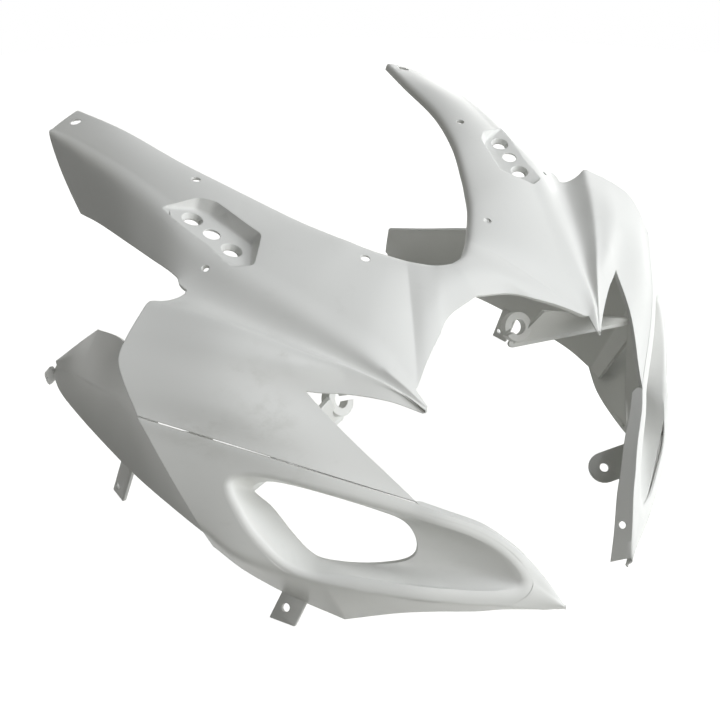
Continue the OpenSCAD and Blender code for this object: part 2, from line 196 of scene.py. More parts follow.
def soften(grid: Array, weight: Array, passes: int) -> Array:
    """Round a grid across its columns.

    Each pass moves a point halfway to the mean of its two neighbours, times its weight.

    Args:
        grid: Points of shape (n, m, 3).
        weight: How far each point may move, shape (n, m), 0 at edges that stay.
        passes: How many times the rounding is done.

    Returns:
        The rounded grid.
    """
    grid = grid.copy()
    share = 0.5 * weight[:, 1:-1, None]
    for _ in range(passes):
        middle = 0.5 * (grid[:, :-2] + grid[:, 2:])
        grid[:, 1:-1] += share * (middle - grid[:, 1:-1])
    return grid


@dataclass
class Solid:
    """A closed mesh in millimetres: its points and its faces, which point outwards."""

    points: Array
    faces: list[Face]

    def mirrored(self, side: Side) -> "Solid":
        """Return the solid on the given side, with its faces still pointing outwards.

        Args:
            side: Side wanted; the solid is on the rider's left now.

        Returns:
            The solid on that side.
        """
        if side is Side.LEFT:
            return self
        return Solid(self.points * np.array([-1.0, 1.0, 1.0]),
                     [tuple(reversed(f)) for f in self.faces])


def shell(grid: Array, present: Array, depth: Array) -> Solid:
    """Make a closed wall from a grid of outer points.

    The inner point is the outer one moved back by depth along the mean normal of the cells
    round it. Open borders are closed by a strip between the outer and the inner side.

    Args:
        grid: Outer points of shape (n, m, 3).
        present: Which cells exist, shape (n-1, m-1).
        depth: Wall thickness at each point, shape (n, m).

    Returns:
        The wall as a solid.
    """
    n, m = grid.shape[:2]
    flat = np.cross(grid[1:, 1:] - grid[:-1, :-1], grid[:-1, 1:] - grid[1:, :-1])
    flat = unit(flat) * present[..., None]
    normal = np.zeros_like(grid)
    for a in (0, 1):
        for b in (0, 1):
            normal[a:n - 1 + a, b:m - 1 + b] += flat
    inner = grid - unit(normal) * depth[..., None]
    index = np.arange(n * m).reshape(n, m)
    a, b, c, d = index[:-1, :-1], index[1:, :-1], index[1:, 1:], index[:-1, 1:]
    outer_faces = np.stack([a, b, c, d], -1)[present]
    inner_faces = outer_faces[:, ::-1] + n * m
    padded = np.pad(present, 1)
    here = padded[1:-1, 1:-1]
    rims = []
    for other, start, end in ((padded[:-2, 1:-1], d, a), (padded[2:, 1:-1], b, c),
                              (padded[1:-1, :-2], a, b), (padded[1:-1, 2:], c, d)):
        open_side = here & ~other
        p, q = start[open_side], end[open_side]
        rims.append(np.stack([q, p, p + n * m, q + n * m], -1))
    faces = np.concatenate([outer_faces, inner_faces, *rims])
    used, renumbered = np.unique(faces, return_inverse=True)
    points = np.concatenate([grid.reshape(-1, 3), inner.reshape(-1, 3)])[used]
    return Solid(points, [tuple(f) for f in renumbered.reshape(faces.shape).tolist()])


def loft(rings: Array) -> Solid:
    """Close a stack of rings into a solid.

    Args:
        rings: Shape (k, n, 3). Seen from the first ring's outside, the points run clockwise
            round the axis that points from the last ring to the first.

    Returns:
        The solid with a flat cap on each end.
    """
    k, n = rings.shape[:2]
    index = np.arange(k * n).reshape(k, n)
    a, b = index[:-1], index[1:]
    sides = np.stack([a, np.roll(a, -1, 1), np.roll(b, -1, 1), b], -1).reshape(-1, 4)
    faces = [tuple(f) for f in sides.tolist()]
    faces.append(tuple(index[0][::-1].tolist()))
    faces.append(tuple(index[-1].tolist()))
    return Solid(rings.reshape(-1, 3), faces)


@dataclass(frozen=True)
class Axes:
    """A local frame: its origin and its three unit axes, in millimetres."""

    origin: Array
    u: Array
    v: Array
    w: Array

    def out(self, points: Array) -> Array:
        """Return local points in the frame of the model."""
        return self.origin + points @ np.stack([self.u, self.v, self.w])


def axes_along(origin: Array, w: Array, towards: Array) -> Axes:
    """Return a frame with its third axis along w and its first as near as can be to towards.

    Args:
        origin: Origin in millimetres.
        w: Direction of the third axis.
        towards: Direction for the first axis.

    Returns:
        The frame.
    """
    w = unit(w)
    u = square_to(towards, w)
    return Axes(np.asarray(origin, float), u, np.cross(w, u), w)


def disc_rings(radius: Array, height: Array, count: int) -> Array:
    """Return circles in a local frame, with points x = r cos a, y = r sin a, z = h.

    Args:
        radius: Radius of each circle.
        height: Height of each circle, falling from the first to the last.
        count: Points on a circle.

    Returns:
        Rings of shape (len(radius), count, 3), ready for loft().
    """
    angle = np.linspace(0, 2 * np.pi, count, endpoint=False)
    radius, height = np.asarray(radius, float)[:, None], np.asarray(height, float)[:, None]
    flat = np.ones(count)
    return np.stack([radius * np.cos(angle), radius * np.sin(angle), height * flat], -1)


def round_bar(axes: Axes, radius: float, low: float, high: float, count: int = 40) -> Solid:
    """Return a plain round solid along the third axis from low to high."""
    rings = disc_rings([radius, radius], [high, low], count)
    return oriented(loft(axes.out(rings)))


def shaped_bore(axes: Axes, profile: tuple[tuple[float, float], ...], count: int = 48) -> Solid:
    """Return a round solid along the third axis from a profile of heights and radii."""
    height, radius = zip(*profile)
    return oriented(loft(axes.out(disc_rings(radius, height, count))))


def oriented(solid: Solid) -> Solid:
    """Return the solid with its faces turned outwards, by the sign of its volume.

    Its sign is that of the sum over fan triangles of a . (b x c).

    Args:
        solid: A closed solid.

    Returns:
        The same solid, or one with every face reversed.
    """
    volume = 0.0
    centre = solid.points.mean(0)
    for face in solid.faces:
        p = solid.points[list(face)] - centre
        volume += float(np.einsum("j,ij->", p[0], np.cross(p[1:-1], p[2:])))
    if volume >= 0:
        return solid
    return Solid(solid.points, [tuple(reversed(f)) for f in solid.faces])


def cut_corners(outline: Array, passes: int) -> Array:
    """Round a closed outline by cutting each corner at a quarter and three quarters.

    Args:
        outline: Closed outline of shape (n, 2).
        passes: How many times it is done.

    Returns:
        The outline, with twice the points after each pass.
    """
    for _ in range(passes):
        after = np.roll(outline, -1, 0)
        outline = np.stack([0.75 * outline + 0.25 * after,
                            0.25 * outline + 0.75 * after], 1).reshape(-1, outline.shape[1])
    return outline


def closed_curve(corners: Array, count: int) -> Array:
    """Return the smooth closed curve through the corners, with count points.

    Args:
        corners: Points of shape (k, d).
        count: Points wanted.

    Returns:
        Points of shape (count, d).
    """
    p = np.asarray(corners, float)
    k = len(p)
    s = np.arange(count) * k / count
    i = np.floor(s).astype(int)
    return blend4(p[(i - 1) % k], p[i % k], p[(i + 1) % k], p[(i + 2) % k], (s - i)[:, None])


def outward(outline: Array) -> Array:
    """Return the flat unit vectors that point out of a closed outline, whichever way it runs.

    Args:
        outline: Closed outline of shape (n, 2).

    Returns:
        Unit vectors of shape (n, 2).
    """
    ahead = np.roll(outline, -1, 0) - np.roll(outline, 1, 0)
    x, y = outline[:, 0], outline[:, 1]
    area = float(np.sum(x * np.roll(y, -1) - np.roll(x, -1) * y))
    return unit(np.stack([ahead[:, 1], -ahead[:, 0]], -1)) * np.sign(area)


def grown(outline: Array, amount: float | Array) -> Array:
    """Return a closed flat outline moved outwards by an amount, or by one for each point."""
    return outline + outward(outline) * np.reshape(amount, (-1, 1))


def flat_plate(axes: Axes, outline: Array, thickness: float, edge: float = 0.5) -> Solid:
    """Make a flat plate with rounded rims.

    The outline is moved in by the edge radius at the two faces, in two steps of a quarter
    circle, and the plate is centred on the plane of the first two axes.

    Args:
        axes: Frame of the plate, third axis across it.
        outline: Closed flat outline of shape (n, 2).
        thickness: Thickness of the plate.
        edge: Radius of its rims.

    Returns:
        The plate.
    """
    half = thickness / 2
    corner = (1 - math.sqrt(0.5)) * edge
    profile = [(half, -edge), (half - corner, -corner), (half - edge, 0.0),
               (edge - half, 0.0), (corner - half, -corner), (-half, -edge)]
    rings = np.stack([np.column_stack([grown(outline, g), np.full(len(outline), z)])
                      for z, g in profile])
    return oriented(loft(axes.out(rings)))


def bar_outline(reach: Array, width: float, count: int = 14) -> Array:
    """Return the outline of a flat bar with round ends from the origin to reach.

    Args:
        reach: Far end, in millimetres.
        width: Width of the bar.
        count: Points on each round end.

    Returns:
        A closed outline of shape (2 count, 2).
    """
    run = unit(np.asarray(reach, float))
    side = np.array([-run[1], run[0]])
    half = np.linspace(-np.pi / 2, np.pi / 2, count)[:, None]
    cap = (np.cos(half) * run + np.sin(half) * side) * width / 2
    return np.concatenate([np.asarray(reach, float) + cap, -cap])


class Moulding:
    """A Blender object made from solids, cut and joined, and handed to the frame."""

    def __init__(self, name: str, solid: Solid) -> None:
        """Make the object.

        Args:
            name: Name of the piece.
            solid: Its first solid, in millimetres.
        """
        self.obj = self._object(name, solid)
        bpy.context.scene.collection.objects.link(self.obj)

    @staticmethod
    def _object(name: str, solid: Solid) -> bpy.types.Object:
        """Return an unlinked object with the solid as its mesh, in metres.

        Args:
            name: Name of the object and its mesh.
            solid: The solid in millimetres.

        Returns:
            The object.
        """
        mesh = bpy.data.meshes.new(name)
        mesh.from_pydata((solid.points * METRE).tolist(), [], solid.faces)
        mesh.update()
        return bpy.data.objects.new(name, mesh)

    def _combine(self, other: Solid, operation: str) -> None:
        """Cut or join another solid into this one and keep the result as the mesh.

        Args:
            other: The other solid, in millimetres.
            operation: Blender's name of the operation.
        """
        tool = self._object(self.obj.name + "_tool", other)
        bpy.context.scene.collection.objects.link(tool)
        modifier = self.obj.modifiers.new("combine", "BOOLEAN")
        modifier.operation = operation
        modifier.solver = "MANIFOLD"
        modifier.object = tool
        graph = bpy.context.evaluated_depsgraph_get()
        result = bpy.data.meshes.new_from_object(self.obj.evaluated_get(graph))
        self.obj.modifiers.clear()
        old, self.obj.data = self.obj.data, result
        result.name = self.obj.name
        bpy.data.meshes.remove(old)
        tool_mesh = tool.data
        bpy.data.objects.remove(tool)
        bpy.data.meshes.remove(tool_mesh)

    def cut(self, other: Solid) -> None:
        """Take another solid away."""
        self._combine(other, "DIFFERENCE")

    def add(self, other: Solid) -> None:
        """Join another solid on."""
        self._combine(other, "UNION")

    def keep_inside(self, other: Solid) -> None:
        """Keep only what lies inside another solid."""
        self._combine(other, "INTERSECT")

    def solid(self) -> Solid:
        """Return the present mesh as a solid in millimetres.

        Returns:
            The solid.
        """
        mesh = self.obj.data
        points = np.empty(len(mesh.vertices) * 3)
        mesh.vertices.foreach_get("co", points)
        return Solid(points.reshape(-1, 3) / METRE, [tuple(p.vertices) for p in mesh.polygons])

    def discard(self) -> None:
        """Remove the object and its mesh."""
        mesh = self.obj.data
        bpy.data.objects.remove(self.obj)
        bpy.data.meshes.remove(mesh)

    def finish(self, material: bpy.types.Material, nodes: list[str], sharp: float = 38.0) -> None:
        """Shade the piece, give it its material and hand it to the frame.

        Args:
            material: Material of the whole piece.
            nodes: Solid nodes that it stands for.
            sharp: Angle in degrees past which an edge stays sharp.
        """
        mesh = self.obj.data
        mesh.materials.clear()
        mesh.materials.append(material)
        mesh.polygons.foreach_set("material_index", np.zeros(len(mesh.polygons), int))
        mesh.shade_smooth()
        mesh.set_sharp_from_angle(angle=math.radians(sharp))
        mesh.update()
        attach(self.obj, "root")
        if nodes:
            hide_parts(*nodes)
        LOG.info("%s: %d faces", self.obj.name, len(mesh.polygons))


class Nodes:
    """Short hand for building a node tree."""

    def __init__(self, tree: bpy.types.NodeTree) -> None:
        """Start with an empty tree."""
        self.tree = tree
        tree.nodes.clear()

    def add(self, kind: str, **values: object) -> bpy.types.Node:
        """Add a node.

        Args:
            kind: Blender's name of the node type.
            values: Properties of the node, or inputs by name with spaces as underscores.

        Returns:
            The node.
        """
        node = self.tree.nodes.new(kind)
        for key, value in values.items():
            if hasattr(node, key):
                setattr(node, key, value)
            else:
                node.inputs[key.replace("_", " ")].default_value = value
        return node

    def link(self, source: bpy.types.NodeSocket, target: bpy.types.NodeSocket) -> None:
        """Join an output to an input."""
        self.tree.links.new(source, target)

    def ramp(self, source: bpy.types.NodeSocket, low: float, high: float,
             to_low: float = 0.0, to_high: float = 1.0) -> bpy.types.NodeSocket:
        """Return the source mapped from low..high to to_low..to_high and limited there.

        Args:
            source: Socket with the value.
            low: Value that gives to_low.
            high: Value that gives to_high.
            to_low: Result at low.
            to_high: Result at high.

        Returns:
            Socket with the result.
        """
        node = self.add("ShaderNodeMapRange")
        node.interpolation_type = "SMOOTHSTEP"
        self.link(source, node.inputs["Value"])
        node.inputs["From Min"].default_value = low
        node.inputs["From Max"].default_value = high
        node.inputs["To Min"].default_value = to_low
        node.inputs["To Max"].default_value = to_high
        return node.outputs["Result"]

    def math(self, operation: str, a: object, b: object = 0.0) -> bpy.types.NodeSocket:
        """Return a sum, product or other operation on two sockets or numbers.

        Args:
            operation: Blender's name of the operation.
            a: First socket or number.
            b: Second socket or number.

        Returns:
            Socket with the result.
        """
        node = self.add("ShaderNodeMath")
        node.operation = operation
        for socket, value in zip(node.inputs, (a, b)):
            if isinstance(value, bpy.types.NodeSocket):
                self.link(value, socket)
            else:
                socket.default_value = float(value)
        return node.outputs[0]


@dataclass(frozen=True)
class ShadePatch:
    """A patch of painted shade: its centre in millimetres, its reach and how strong it is."""

    centre: tuple[float, float, float]
    reach: float
    strength: float


@dataclass(frozen=True)
class MouldedPlastic:
    """Unpainted white plastic as it comes from the mould, with a few patches of painted shade."""

    name: str
    colour: tuple[float, float, float] = (0.80, 0.805, 0.785)
    # Olive colour that the random mottling and the painted shade patches both blend towards.
    mottle_and_shade: tuple[float, float, float] = (0.56, 0.56, 0.52)
    roughness: float = 0.42
    grain: float = 0.00002
    edge_radius: float = 0.0009
    # Painted shade: fixed patches on the rider's-right cheek and shoulder that darken the colour
    # towards the olive shade colour.
    shade_patches: tuple[ShadePatch, ...] = (
        ShadePatch((-154.6, -106.7, 186.0), 7.0, 0.5), ShadePatch((-127.0, -130.1, 171.8), 6.0, 0.45),
        ShadePatch((-180.1, -107.1, 177.4), 26.0, 0.22), ShadePatch((-179.9, -128.0, 159.0), 28.0, 0.3),
        ShadePatch((-217.6, -108.9, 156.9), 30.0, 0.25), ShadePatch((-179.4, -147.5, 132.6), 20.0, 0.2))

    def material(self) -> bpy.types.Material:
        """Build the material: cloudy tone, fine mould grain, rounded edges and patches of painted
        shade.

        Returns:
            The material, which reads Object coordinates only.
        """
        material = bpy.data.materials.new(self.name)
        material.use_nodes = True
        n = Nodes(material.node_tree)
        place_on = n.add("ShaderNodeTexCoord").outputs["Object"]
        cloud = n.add("ShaderNodeTexNoise", Scale=9.0, Detail=4.0, Roughness=0.55)
        n.link(place_on, cloud.inputs["Vector"])
        streak_map = n.add("ShaderNodeMapping")
        streak_map.inputs["Scale"].default_value = (22.0, 7.0, 40.0)
        streak_map.inputs["Rotation"].default_value = (0.3, 0.2, 0.6)
        n.link(place_on, streak_map.inputs["Vector"])
        streak = n.add("ShaderNodeTexNoise", Scale=3.0, Detail=6.0, Roughness=0.65)
        n.link(streak_map.outputs["Vector"], streak.inputs["Vector"])
        fine = n.add("ShaderNodeTexNoise", Scale=1500.0, Detail=2.0, Roughness=0.5)
        n.link(place_on, fine.inputs["Vector"])

        mottle_and_shade = n.math("MULTIPLY", n.ramp(streak.outputs["Fac"], 0.56, 0.78), 0.10)
        wave = n.ramp(cloud.outputs["Fac"], 0.40, 0.72, 0.0, 0.05)
        mottle_and_shade = n.math("ADD", mottle_and_shade, wave)
        # The painted shade patches are added on top of the random mottling.
        for shade_patch in self.shade_patches:
            mottle_and_shade = n.math("ADD", mottle_and_shade, self._shade_patch(n, place_on, streak.outputs["Fac"], shade_patch))
        mottle_and_shade = n.math("MINIMUM", mottle_and_shade, 1.0)
        tone = n.add("ShaderNodeMix")
        tone.data_type = "RGBA"
        n.link(mottle_and_shade, tone.inputs["Factor"])
        tone.inputs[6].default_value = (*self.colour, 1.0)
        tone.inputs[7].default_value = (*self.mottle_and_shade, 1.0)

        gloss = n.ramp(cloud.outputs["Fac"], 0.3, 0.7, self.roughness - 0.04, self.roughness + 0.05)
        rounded = n.add("ShaderNodeBevel")
        rounded.samples = 6
        rounded.inputs["Radius"].default_value = self.edge_radius
        bump_node = n.add("ShaderNodeBump", Strength=0.35, Distance=self.grain)
        n.link(fine.outputs["Fac"], bump_node.inputs["Height"])
        n.link(rounded.outputs["Normal"], bump_node.inputs["Normal"])

        surface = n.add("ShaderNodeBsdfPrincipled")
        n.link(tone.outputs[2], surface.inputs["Base Color"])
        n.link(gloss, surface.inputs["Roughness"])
        n.link(bump_node.outputs["Normal"], surface.inputs["Normal"])
        surface.inputs["IOR"].default_value = 1.5
        output = n.add("ShaderNodeOutputMaterial")
        n.link(surface.outputs["BSDF"], output.inputs["Surface"])
        material.diffuse_color = (*self.colour, 1.0)
        return material

    @staticmethod
    def _shade_patch(n: Nodes, place_on: bpy.types.NodeSocket, texture: bpy.types.NodeSocket,
               shade_patch: ShadePatch) -> bpy.types.NodeSocket:
        """Return the painted shade that a patch adds: it fades with distance and is broken by
        streaks.

        Args:
            n: The material's nodes.
            place_on: Socket with the place.
            texture: Socket with the streaks.
            shade_patch: The patch of painted shade.

        Returns:
            Socket with the painted shade.
        """
        away = n.add("ShaderNodeVectorMath")
        away.operation = "DISTANCE"
        n.link(place_on, away.inputs[0])
        away.inputs[1].default_value = tuple(c * METRE for c in shade_patch.centre)
        near = n.ramp(away.outputs["Value"], shade_patch.reach * METRE, 0.0)
        broken = n.ramp(texture, 0.42, 0.62)
        return n.math("MULTIPLY", n.math("MULTIPLY", near, broken), shade_patch.strength)


@dataclass
class MirrorSeat:
    """Flat facet sunk into the hood for a mirror foot, with two bolt bosses."""

    centre: tuple[float, float, float] = (145.0, 0.0, 0.0)
    along: tuple[float, float, float] = (0.256, 0.897, 0.359)
    outward: tuple[float, float, float] = (0.952, -0.299, 0.067)
    length: float = 80.0
    width: float = 37.0
    rise: float = 14.0
    draft: float = 5.0
    bolt_spacing: float = 39.0
    bolt_bore: float = 15.0
    bolt_throat: float = 10.8
    boss_wall: float = 2.0
    boss_length: float = 1.5
    pin_bore: float = 12.0
    pin_relief: float = 3.2
    corner_reach: float = 4.0
    corners: tuple[tuple[float, float], ...] = (
        (0.5, 0.33), (0.34, -0.3), (0.22, -0.45), (-0.28, -0.5), (-0.5, 0.05),
        (-0.42, 0.36), (-0.3, 0.55), (0.3, 0.6))

    def axes(self) -> Axes:
        """Return the seat's frame: across, along and normal to its floor.

        Returns:
            The frame.
        """
        along = unit(self.along)
        out = square_to(np.array(self.outward), along)
        return Axes(place(self.centre), out, along, np.cross(out, along))

    def _outline(self) -> Array:
        """Return the floor's outline in millimetres, with rounded corners.

        Returns:
            Outline of shape (n, 2).
        """
        p = np.array(self.corners) * np.array([self.length, self.width])
        before, after = np.roll(p, 1, 0) - p, np.roll(p, -1, 0) - p
        reach = self.corner_reach
        dense = np.stack([p + unit(before) * reach, p, p + unit(after) * reach], 1)
        return cut_corners(dense.reshape(-1, 2), 2)

    def block(self, grow: float, floor: float, fillet: float) -> Solid:
        """Return the space of the seat, grown by a wall.

        Rings follow the outline, moved out by the draft in proportion to their height, and
        by a quarter circle of the fillet's radius at the floor.

        Args:
            grow: How far the sides are moved out.
            floor: Height of the bottom.
            fillet: Radius between the floor and the sides.

        Returns:
            The block, open side up.
        """
        angle = np.linspace(0, np.pi / 2, 5)
        z = np.concatenate([[self.rise], floor + fillet * (1 - np.cos(angle[::-1]))])
        inset = np.concatenate([[0.0], fillet * (1 - np.sin(angle[::-1]))])
        slope = self.draft * (z - floor) / self.rise
        base = self._outline()[:, ::-1]
        rings = np.stack([np.column_stack([grown(base, grow + s - i), np.full(len(base), h)])
                          for h, i, s in zip(z, inset, slope)])
        return oriented(loft(self.axes().out(rings)))

    def bolt_profile(self) -> tuple[tuple[float, float], ...]:
        """Return heights and radii of a bolt hole, which narrows through its boss."""
        rim, deep = self.bolt_bore / 2, WALL + self.boss_length
        return (20.0, rim), (0.0, rim), (-deep, self.bolt_throat / 2), (-20.0, self.bolt_throat / 2)

    def pin_profile(self) -> tuple[tuple[float, float], ...]:
        """Return heights and radii of the middle hole, relieved from behind.

        Returns:
            Pairs of height and radius, in millimetres.
        """
        rim = self.pin_bore / 2
        back = rim + self.pin_relief
        return (20.0, rim), (-1.0, rim), (-WALL - 1, back), (-8.0, back)

    def bolts(self) -> list[Axes]:
        """Return a frame at each of the two bolt holes, on the floor."""
        a = self.axes()
        return [Axes(a.origin + a.v * k * self.bolt_spacing / 2, a.u, a.v, a.w) for k in (-1, 1)]


@dataclass
class UpperCowl:
    """The one moulding with wings, mirror seats, hood, brow, spurs and cheeks."""

    lip_drop: float = 6.0
    lip_run: float = 2.0
    hood_crown: float = 3.0
    cheek_swell: float = 3.0
    wing_end_bow: float = 8.0
    notch_bow: float = 4.0
    screen_bore: float = 6.0
    wing_bore: float = 4.2
    screen_holes: tuple[tuple[float, float, float], ...] = (
        (167, 170, 46), (129.5, 47.8, 21.7), (59.5, -62, -19))
    wing_hole: tuple[float, float, float] = (163, -24, -14)
    blind_holes: tuple[tuple[Side, int], ...] = ((Side.LEFT, 2),)
    notch_sag: float = 2.4
    blind_depth: float = 0.8
    bore_ease: float = 0.3
    relief: float = 7.0

    SCREEN_EDGE = ((158, 186, 47.5), (141, 136, 40), (125, 76, 28), (105, 29, 15), (83, -8, 1),
                   (70, -27, -6), (59, -42, -11), (50, -52, -15.5), (39, -63, -20),
                   (30, -71.5, -23), (23, -77, -25), (16, -82, -27), (9, -85.5, -28),
                   (0, -87, -29))
    CREASE = ((188, 178, 39), (183, 128, 35.5), (176, 79, 29), (167.5, 33, 16), (161, -10, -2),
              (150, -37, -11.5), (134, -67, -25), (121, -92, -37), (107, -119, -50.5),
              (94.5, -145, -66), (85, -160.5, -81.5))
    VALLEY = ((200, 98, -2), (196, 73, -3), (191, 37, -7), (186, 10, -11.5), (182, -15, -15),
              (181, -28, -21), (157, -66, -36), (136, -94, -46.5), (115, -122, -59),
              (98, -145.5, -70), (85.5, -161.5, -84.5))
    SHOULDER = ((209, -31, -17.5), (178, -68, -28), (149, -99, -42), (122, -124, -54.5),
                (101, -145, -68.5), (87, -161.5, -84))
    CHEEK = ((245, -56, -37), (199, -92, -49), (151, -121, -64), (127, -134, -69),
             (105, -148, -76), (87.5, -160.5, -85.5))
    SEAM = ((246, -81, -65), (180, -140.5, -93.5), (114, -187, -127.5))
    BROW = ((82.5, -148.5, -73), (65, -138, -63.5), (47, -128.5, -56), (29, -119, -50),
            (0, -115, -45))
    SPUR = ((85, -149.5, -73.5), (83.5, -160, -82))
    TIP_LIFT = {Side.LEFT: 0.0, Side.RIGHT: 2.4}
    SHOULDER_LIFT = {Side.LEFT: 3.6, Side.RIGHT: -1.2}
    ROW_VALLEY, ROW_NOTCH, ROW_SPUR, ROW_TIP, ROW_MIDDLE = 5, 7, 9, 10, 13
    BROW_SHARE, SPUR_SHARE = 0.86, 0.9
    LIP, HOOD, STRIP, VALE, FLANK = 4, 34, 2, 13, 14
    SOFT_PASSES, SHARP_PASSES = 10, 2

    def rows(self) -> Array:
        """Return the station numbers of the rows, closer together along the mirror seat.

        Returns:
            Station numbers in rising order.
        """
        valley, notch, spur = self.ROW_VALLEY, self.ROW_NOTCH, self.ROW_SPUR
        return steps((0, 1, 16), (1, valley - 0.5, 104), (valley - 0.5, valley, 8),
                     (valley, notch, 34), (notch, spur, 30), (spur, self.ROW_TIP, 10),
                     (self.ROW_TIP, self.ROW_MIDDLE, 34))

    def _past(self, line: tuple, s: Array) -> Array:
        """Return a line that starts at the rear end of the valley."""
        return curve(line, np.maximum(0, s - self.ROW_VALLEY))

    def _column(self, s: Array, share: float, edge: tuple) -> Array:
        """Return the brow or spur column: a share of the hood that turns into its own edge.

        Args:
            s: Station numbers of the rows.
            share: Share of the way across the hood.
            edge: Stations of its own edge.

        Returns:
            One point per row.
        """
        hood = mix(curve(self.SCREEN_EDGE, s), curve(self.CREASE, s), share)
        turn = clamp01(s - self.ROW_SPUR + 1)[:, None] ** 2
        before = mix(hood, np.array(edge[0], float), turn)
        after = curve(edge, np.maximum(0, s - self.ROW_SPUR))
        return np.where((s >= self.ROW_SPUR)[:, None], after, before)

    def half_grid(self, s: Array, side: Side) -> Array:
        """Return the outer points of one half, row by row, as it lies on the rider's left.

        The lip is a quarter ellipse below the windscreen edge. The hood is straight between
        its two edges with a parabolic crown. The valley and the cheek are cubics across.

        Args:
            s: Station numbers of the rows.
            side: The rider's side, because the bare moulding is flexed a little.

        Returns:
            Points of shape (rows, columns, 3), in the frame of the model.
        """
        upward = np.array([0.0, 0.0, 1.0])
        tip = self.TIP_LIFT[side] * (1 - ease(s / 2.2))[:, None] * upward
        edge, crease = curve(self.SCREEN_EDGE, s) + tip, curve(self.CREASE, s) + 0.5 * tip
        valley, shoulder = curve(self.VALLEY, s), self._past(self.SHOULDER, s)
        rear = 1 - ease((s - self.ROW_VALLEY) / 1.4)
        shoulder = shoulder + self.SHOULDER_LIFT[side] * rear[:, None] * upward
        brow = self._column(s, self.BROW_SHARE, self.BROW)
        spur = self._column(s, self.SPUR_SHARE, self.SPUR)
        away = (edge - brow) * np.array([1.0, 1.0, 0.0])
        turn = (np.pi / 2 * np.linspace(1, 0, self.LIP, endpoint=False))[:, None, None]
        lip = edge + unit(away) * self.lip_run * np.sin(turn)
        lip = lip - np.array([0, 0, self.lip_drop]) * (1 - np.cos(turn))
        t = np.linspace(0, 1, self.HOOD + 1)[:, None, None]
        crown = self.hood_crown * mix(0.15, 1.0, ease(s / 1.6))[:, None] * upward
        hood = mix(edge, brow, t) + crown * bump(t)
        k = np.linspace(0, 1, self.STRIP + 1)[1:, None, None]
        strip = np.concatenate([mix(brow, spur, k), mix(spur, crease, k)])[:-1]
        t = np.linspace(0, 2, 2 * self.VALE + 1)
        hollow = across([crease, valley, shoulder], t)
        straight = mix(crease[:, None], valley[:, None], np.minimum(t, 1)[None, :, None])
        bow = self.wing_end_bow * bump(t)[None, :] * clamp01(1 - s)[:, None]
        straight = straight + bow[..., None] * np.array([0.0, 1.0, 0.0])
        blend = np.where(t[None, :] > 1, 1.0, clamp01(s - self.ROW_VALLEY + 1)[:, None])
        vale = mix(straight, hollow, blend[..., None])
        fall = np.array([0.0, self.notch_bow, self.notch_sag])
        vale = vale - self._notch_shape(s, t)[..., None] * fall
        cheek = self._cheek(s, shoulder)
        left = np.concatenate([lip, hood, strip]).transpose(1, 0, 2)
        grid = np.concatenate([left, vale, cheek], 1)
        sharp, soft = self._rounding(s, grid.shape[1])
        return place(soften(soften(grid, soft, self.SOFT_PASSES), sharp, self.SHARP_PASSES))

    def _notch_shape(self, s: Array, t: Array) -> Array:
        """Return how much the edge between wing and cheek is hollowed, from 0 to about 1.

        Along the edge it is 1.3 u^0.4 (1 - u^2.4), and it fades out with the rows.

        Args:
            s: Station numbers of the rows.
            t: Line numbers, from the crease at 0 to the shoulder at 2.

        Returns:
            Shares of shape (rows, columns).
        """
        u = clamp01(t - 1)[None, :]
        fade = 1 - ease((s - self.ROW_VALLEY) / 0.45)
        fade = np.where(s < self.ROW_VALLEY, 0.0, fade)[:, None]
        return 1.3 * u ** 0.4 * (1 - u ** 2.4) * fade

    def _relieved(self, rim: float) -> tuple[tuple[float, float], ...]:
        """Return heights and radii of a hole that widens from behind."""
        back = rim + self.relief
        return (12.0, rim), (-1.0, rim), (-1.0 - self.relief, back), (-12.0, back)

    def _dimple(self) -> tuple[tuple[float, float], ...]:
        """Return heights and radii of a hole that was only marked and not drilled.

        Returns:
            Pairs of height and radius, in millimetres.
        """
        rim = self.screen_bore / 2
        return (12.0, rim), (-0.1, rim), (-0.6, rim - 0.8), (-self.blind_depth, 0.4)

    def _cheek(self, s: Array, shoulder: Array) -> Array:
        """Return the cheek from the shoulder to the seam.

        At its rear edge it is two flats that meet at the cheek line. Further forward it is the
        smooth curve across, with a swell of sin^2 in each half.

        Args:
            s: Station numbers of the rows.
            shoulder: The shoulder's point in each row.

        Returns:
            Points of shape (rows, columns, 3).
        """
        t = np.linspace(0, 2, 2 * self.FLANK + 1)[1:]
        line = self._past(self.CHEEK, s)
        seam = curve(self.SEAM, np.clip(s - self.ROW_VALLEY, 0, 2))
        round_one = across([shoulder, line, seam], t)
        k = t[None, :, None]
        flats = np.where(k <= 1, mix(shoulder[:, None], line[:, None], k),
                         mix(line[:, None], seam[:, None], k - 1))
        share = ease((s - self.ROW_VALLEY) / 1.6)[:, None, None]
        swell = self.cheek_swell * clamp01(self.ROW_NOTCH + 1 - s)[:, None] * np.sin(np.pi * t) ** 2
        swell = swell[..., None] * unit(np.array([6.0, -5.0, 5.0]))
        return mix(flats, round_one, share) + swell * mix(0.35, 1.0, share)

    def _columns(self) -> dict[str, int]:
        """Return the column numbers of the edges that rows share.

        Returns:
            Column number by name of the edge.
        """
        brow = self.LIP + self.HOOD
        crease = brow + 2 * self.STRIP
        shoulder = crease + 2 * self.VALE
        return {"edge": self.LIP, "brow": brow, "crease": crease, "valley": crease + self.VALE,
                "shoulder": shoulder, "cheek": shoulder + self.FLANK,
                "seam": shoulder + 2 * self.FLANK}

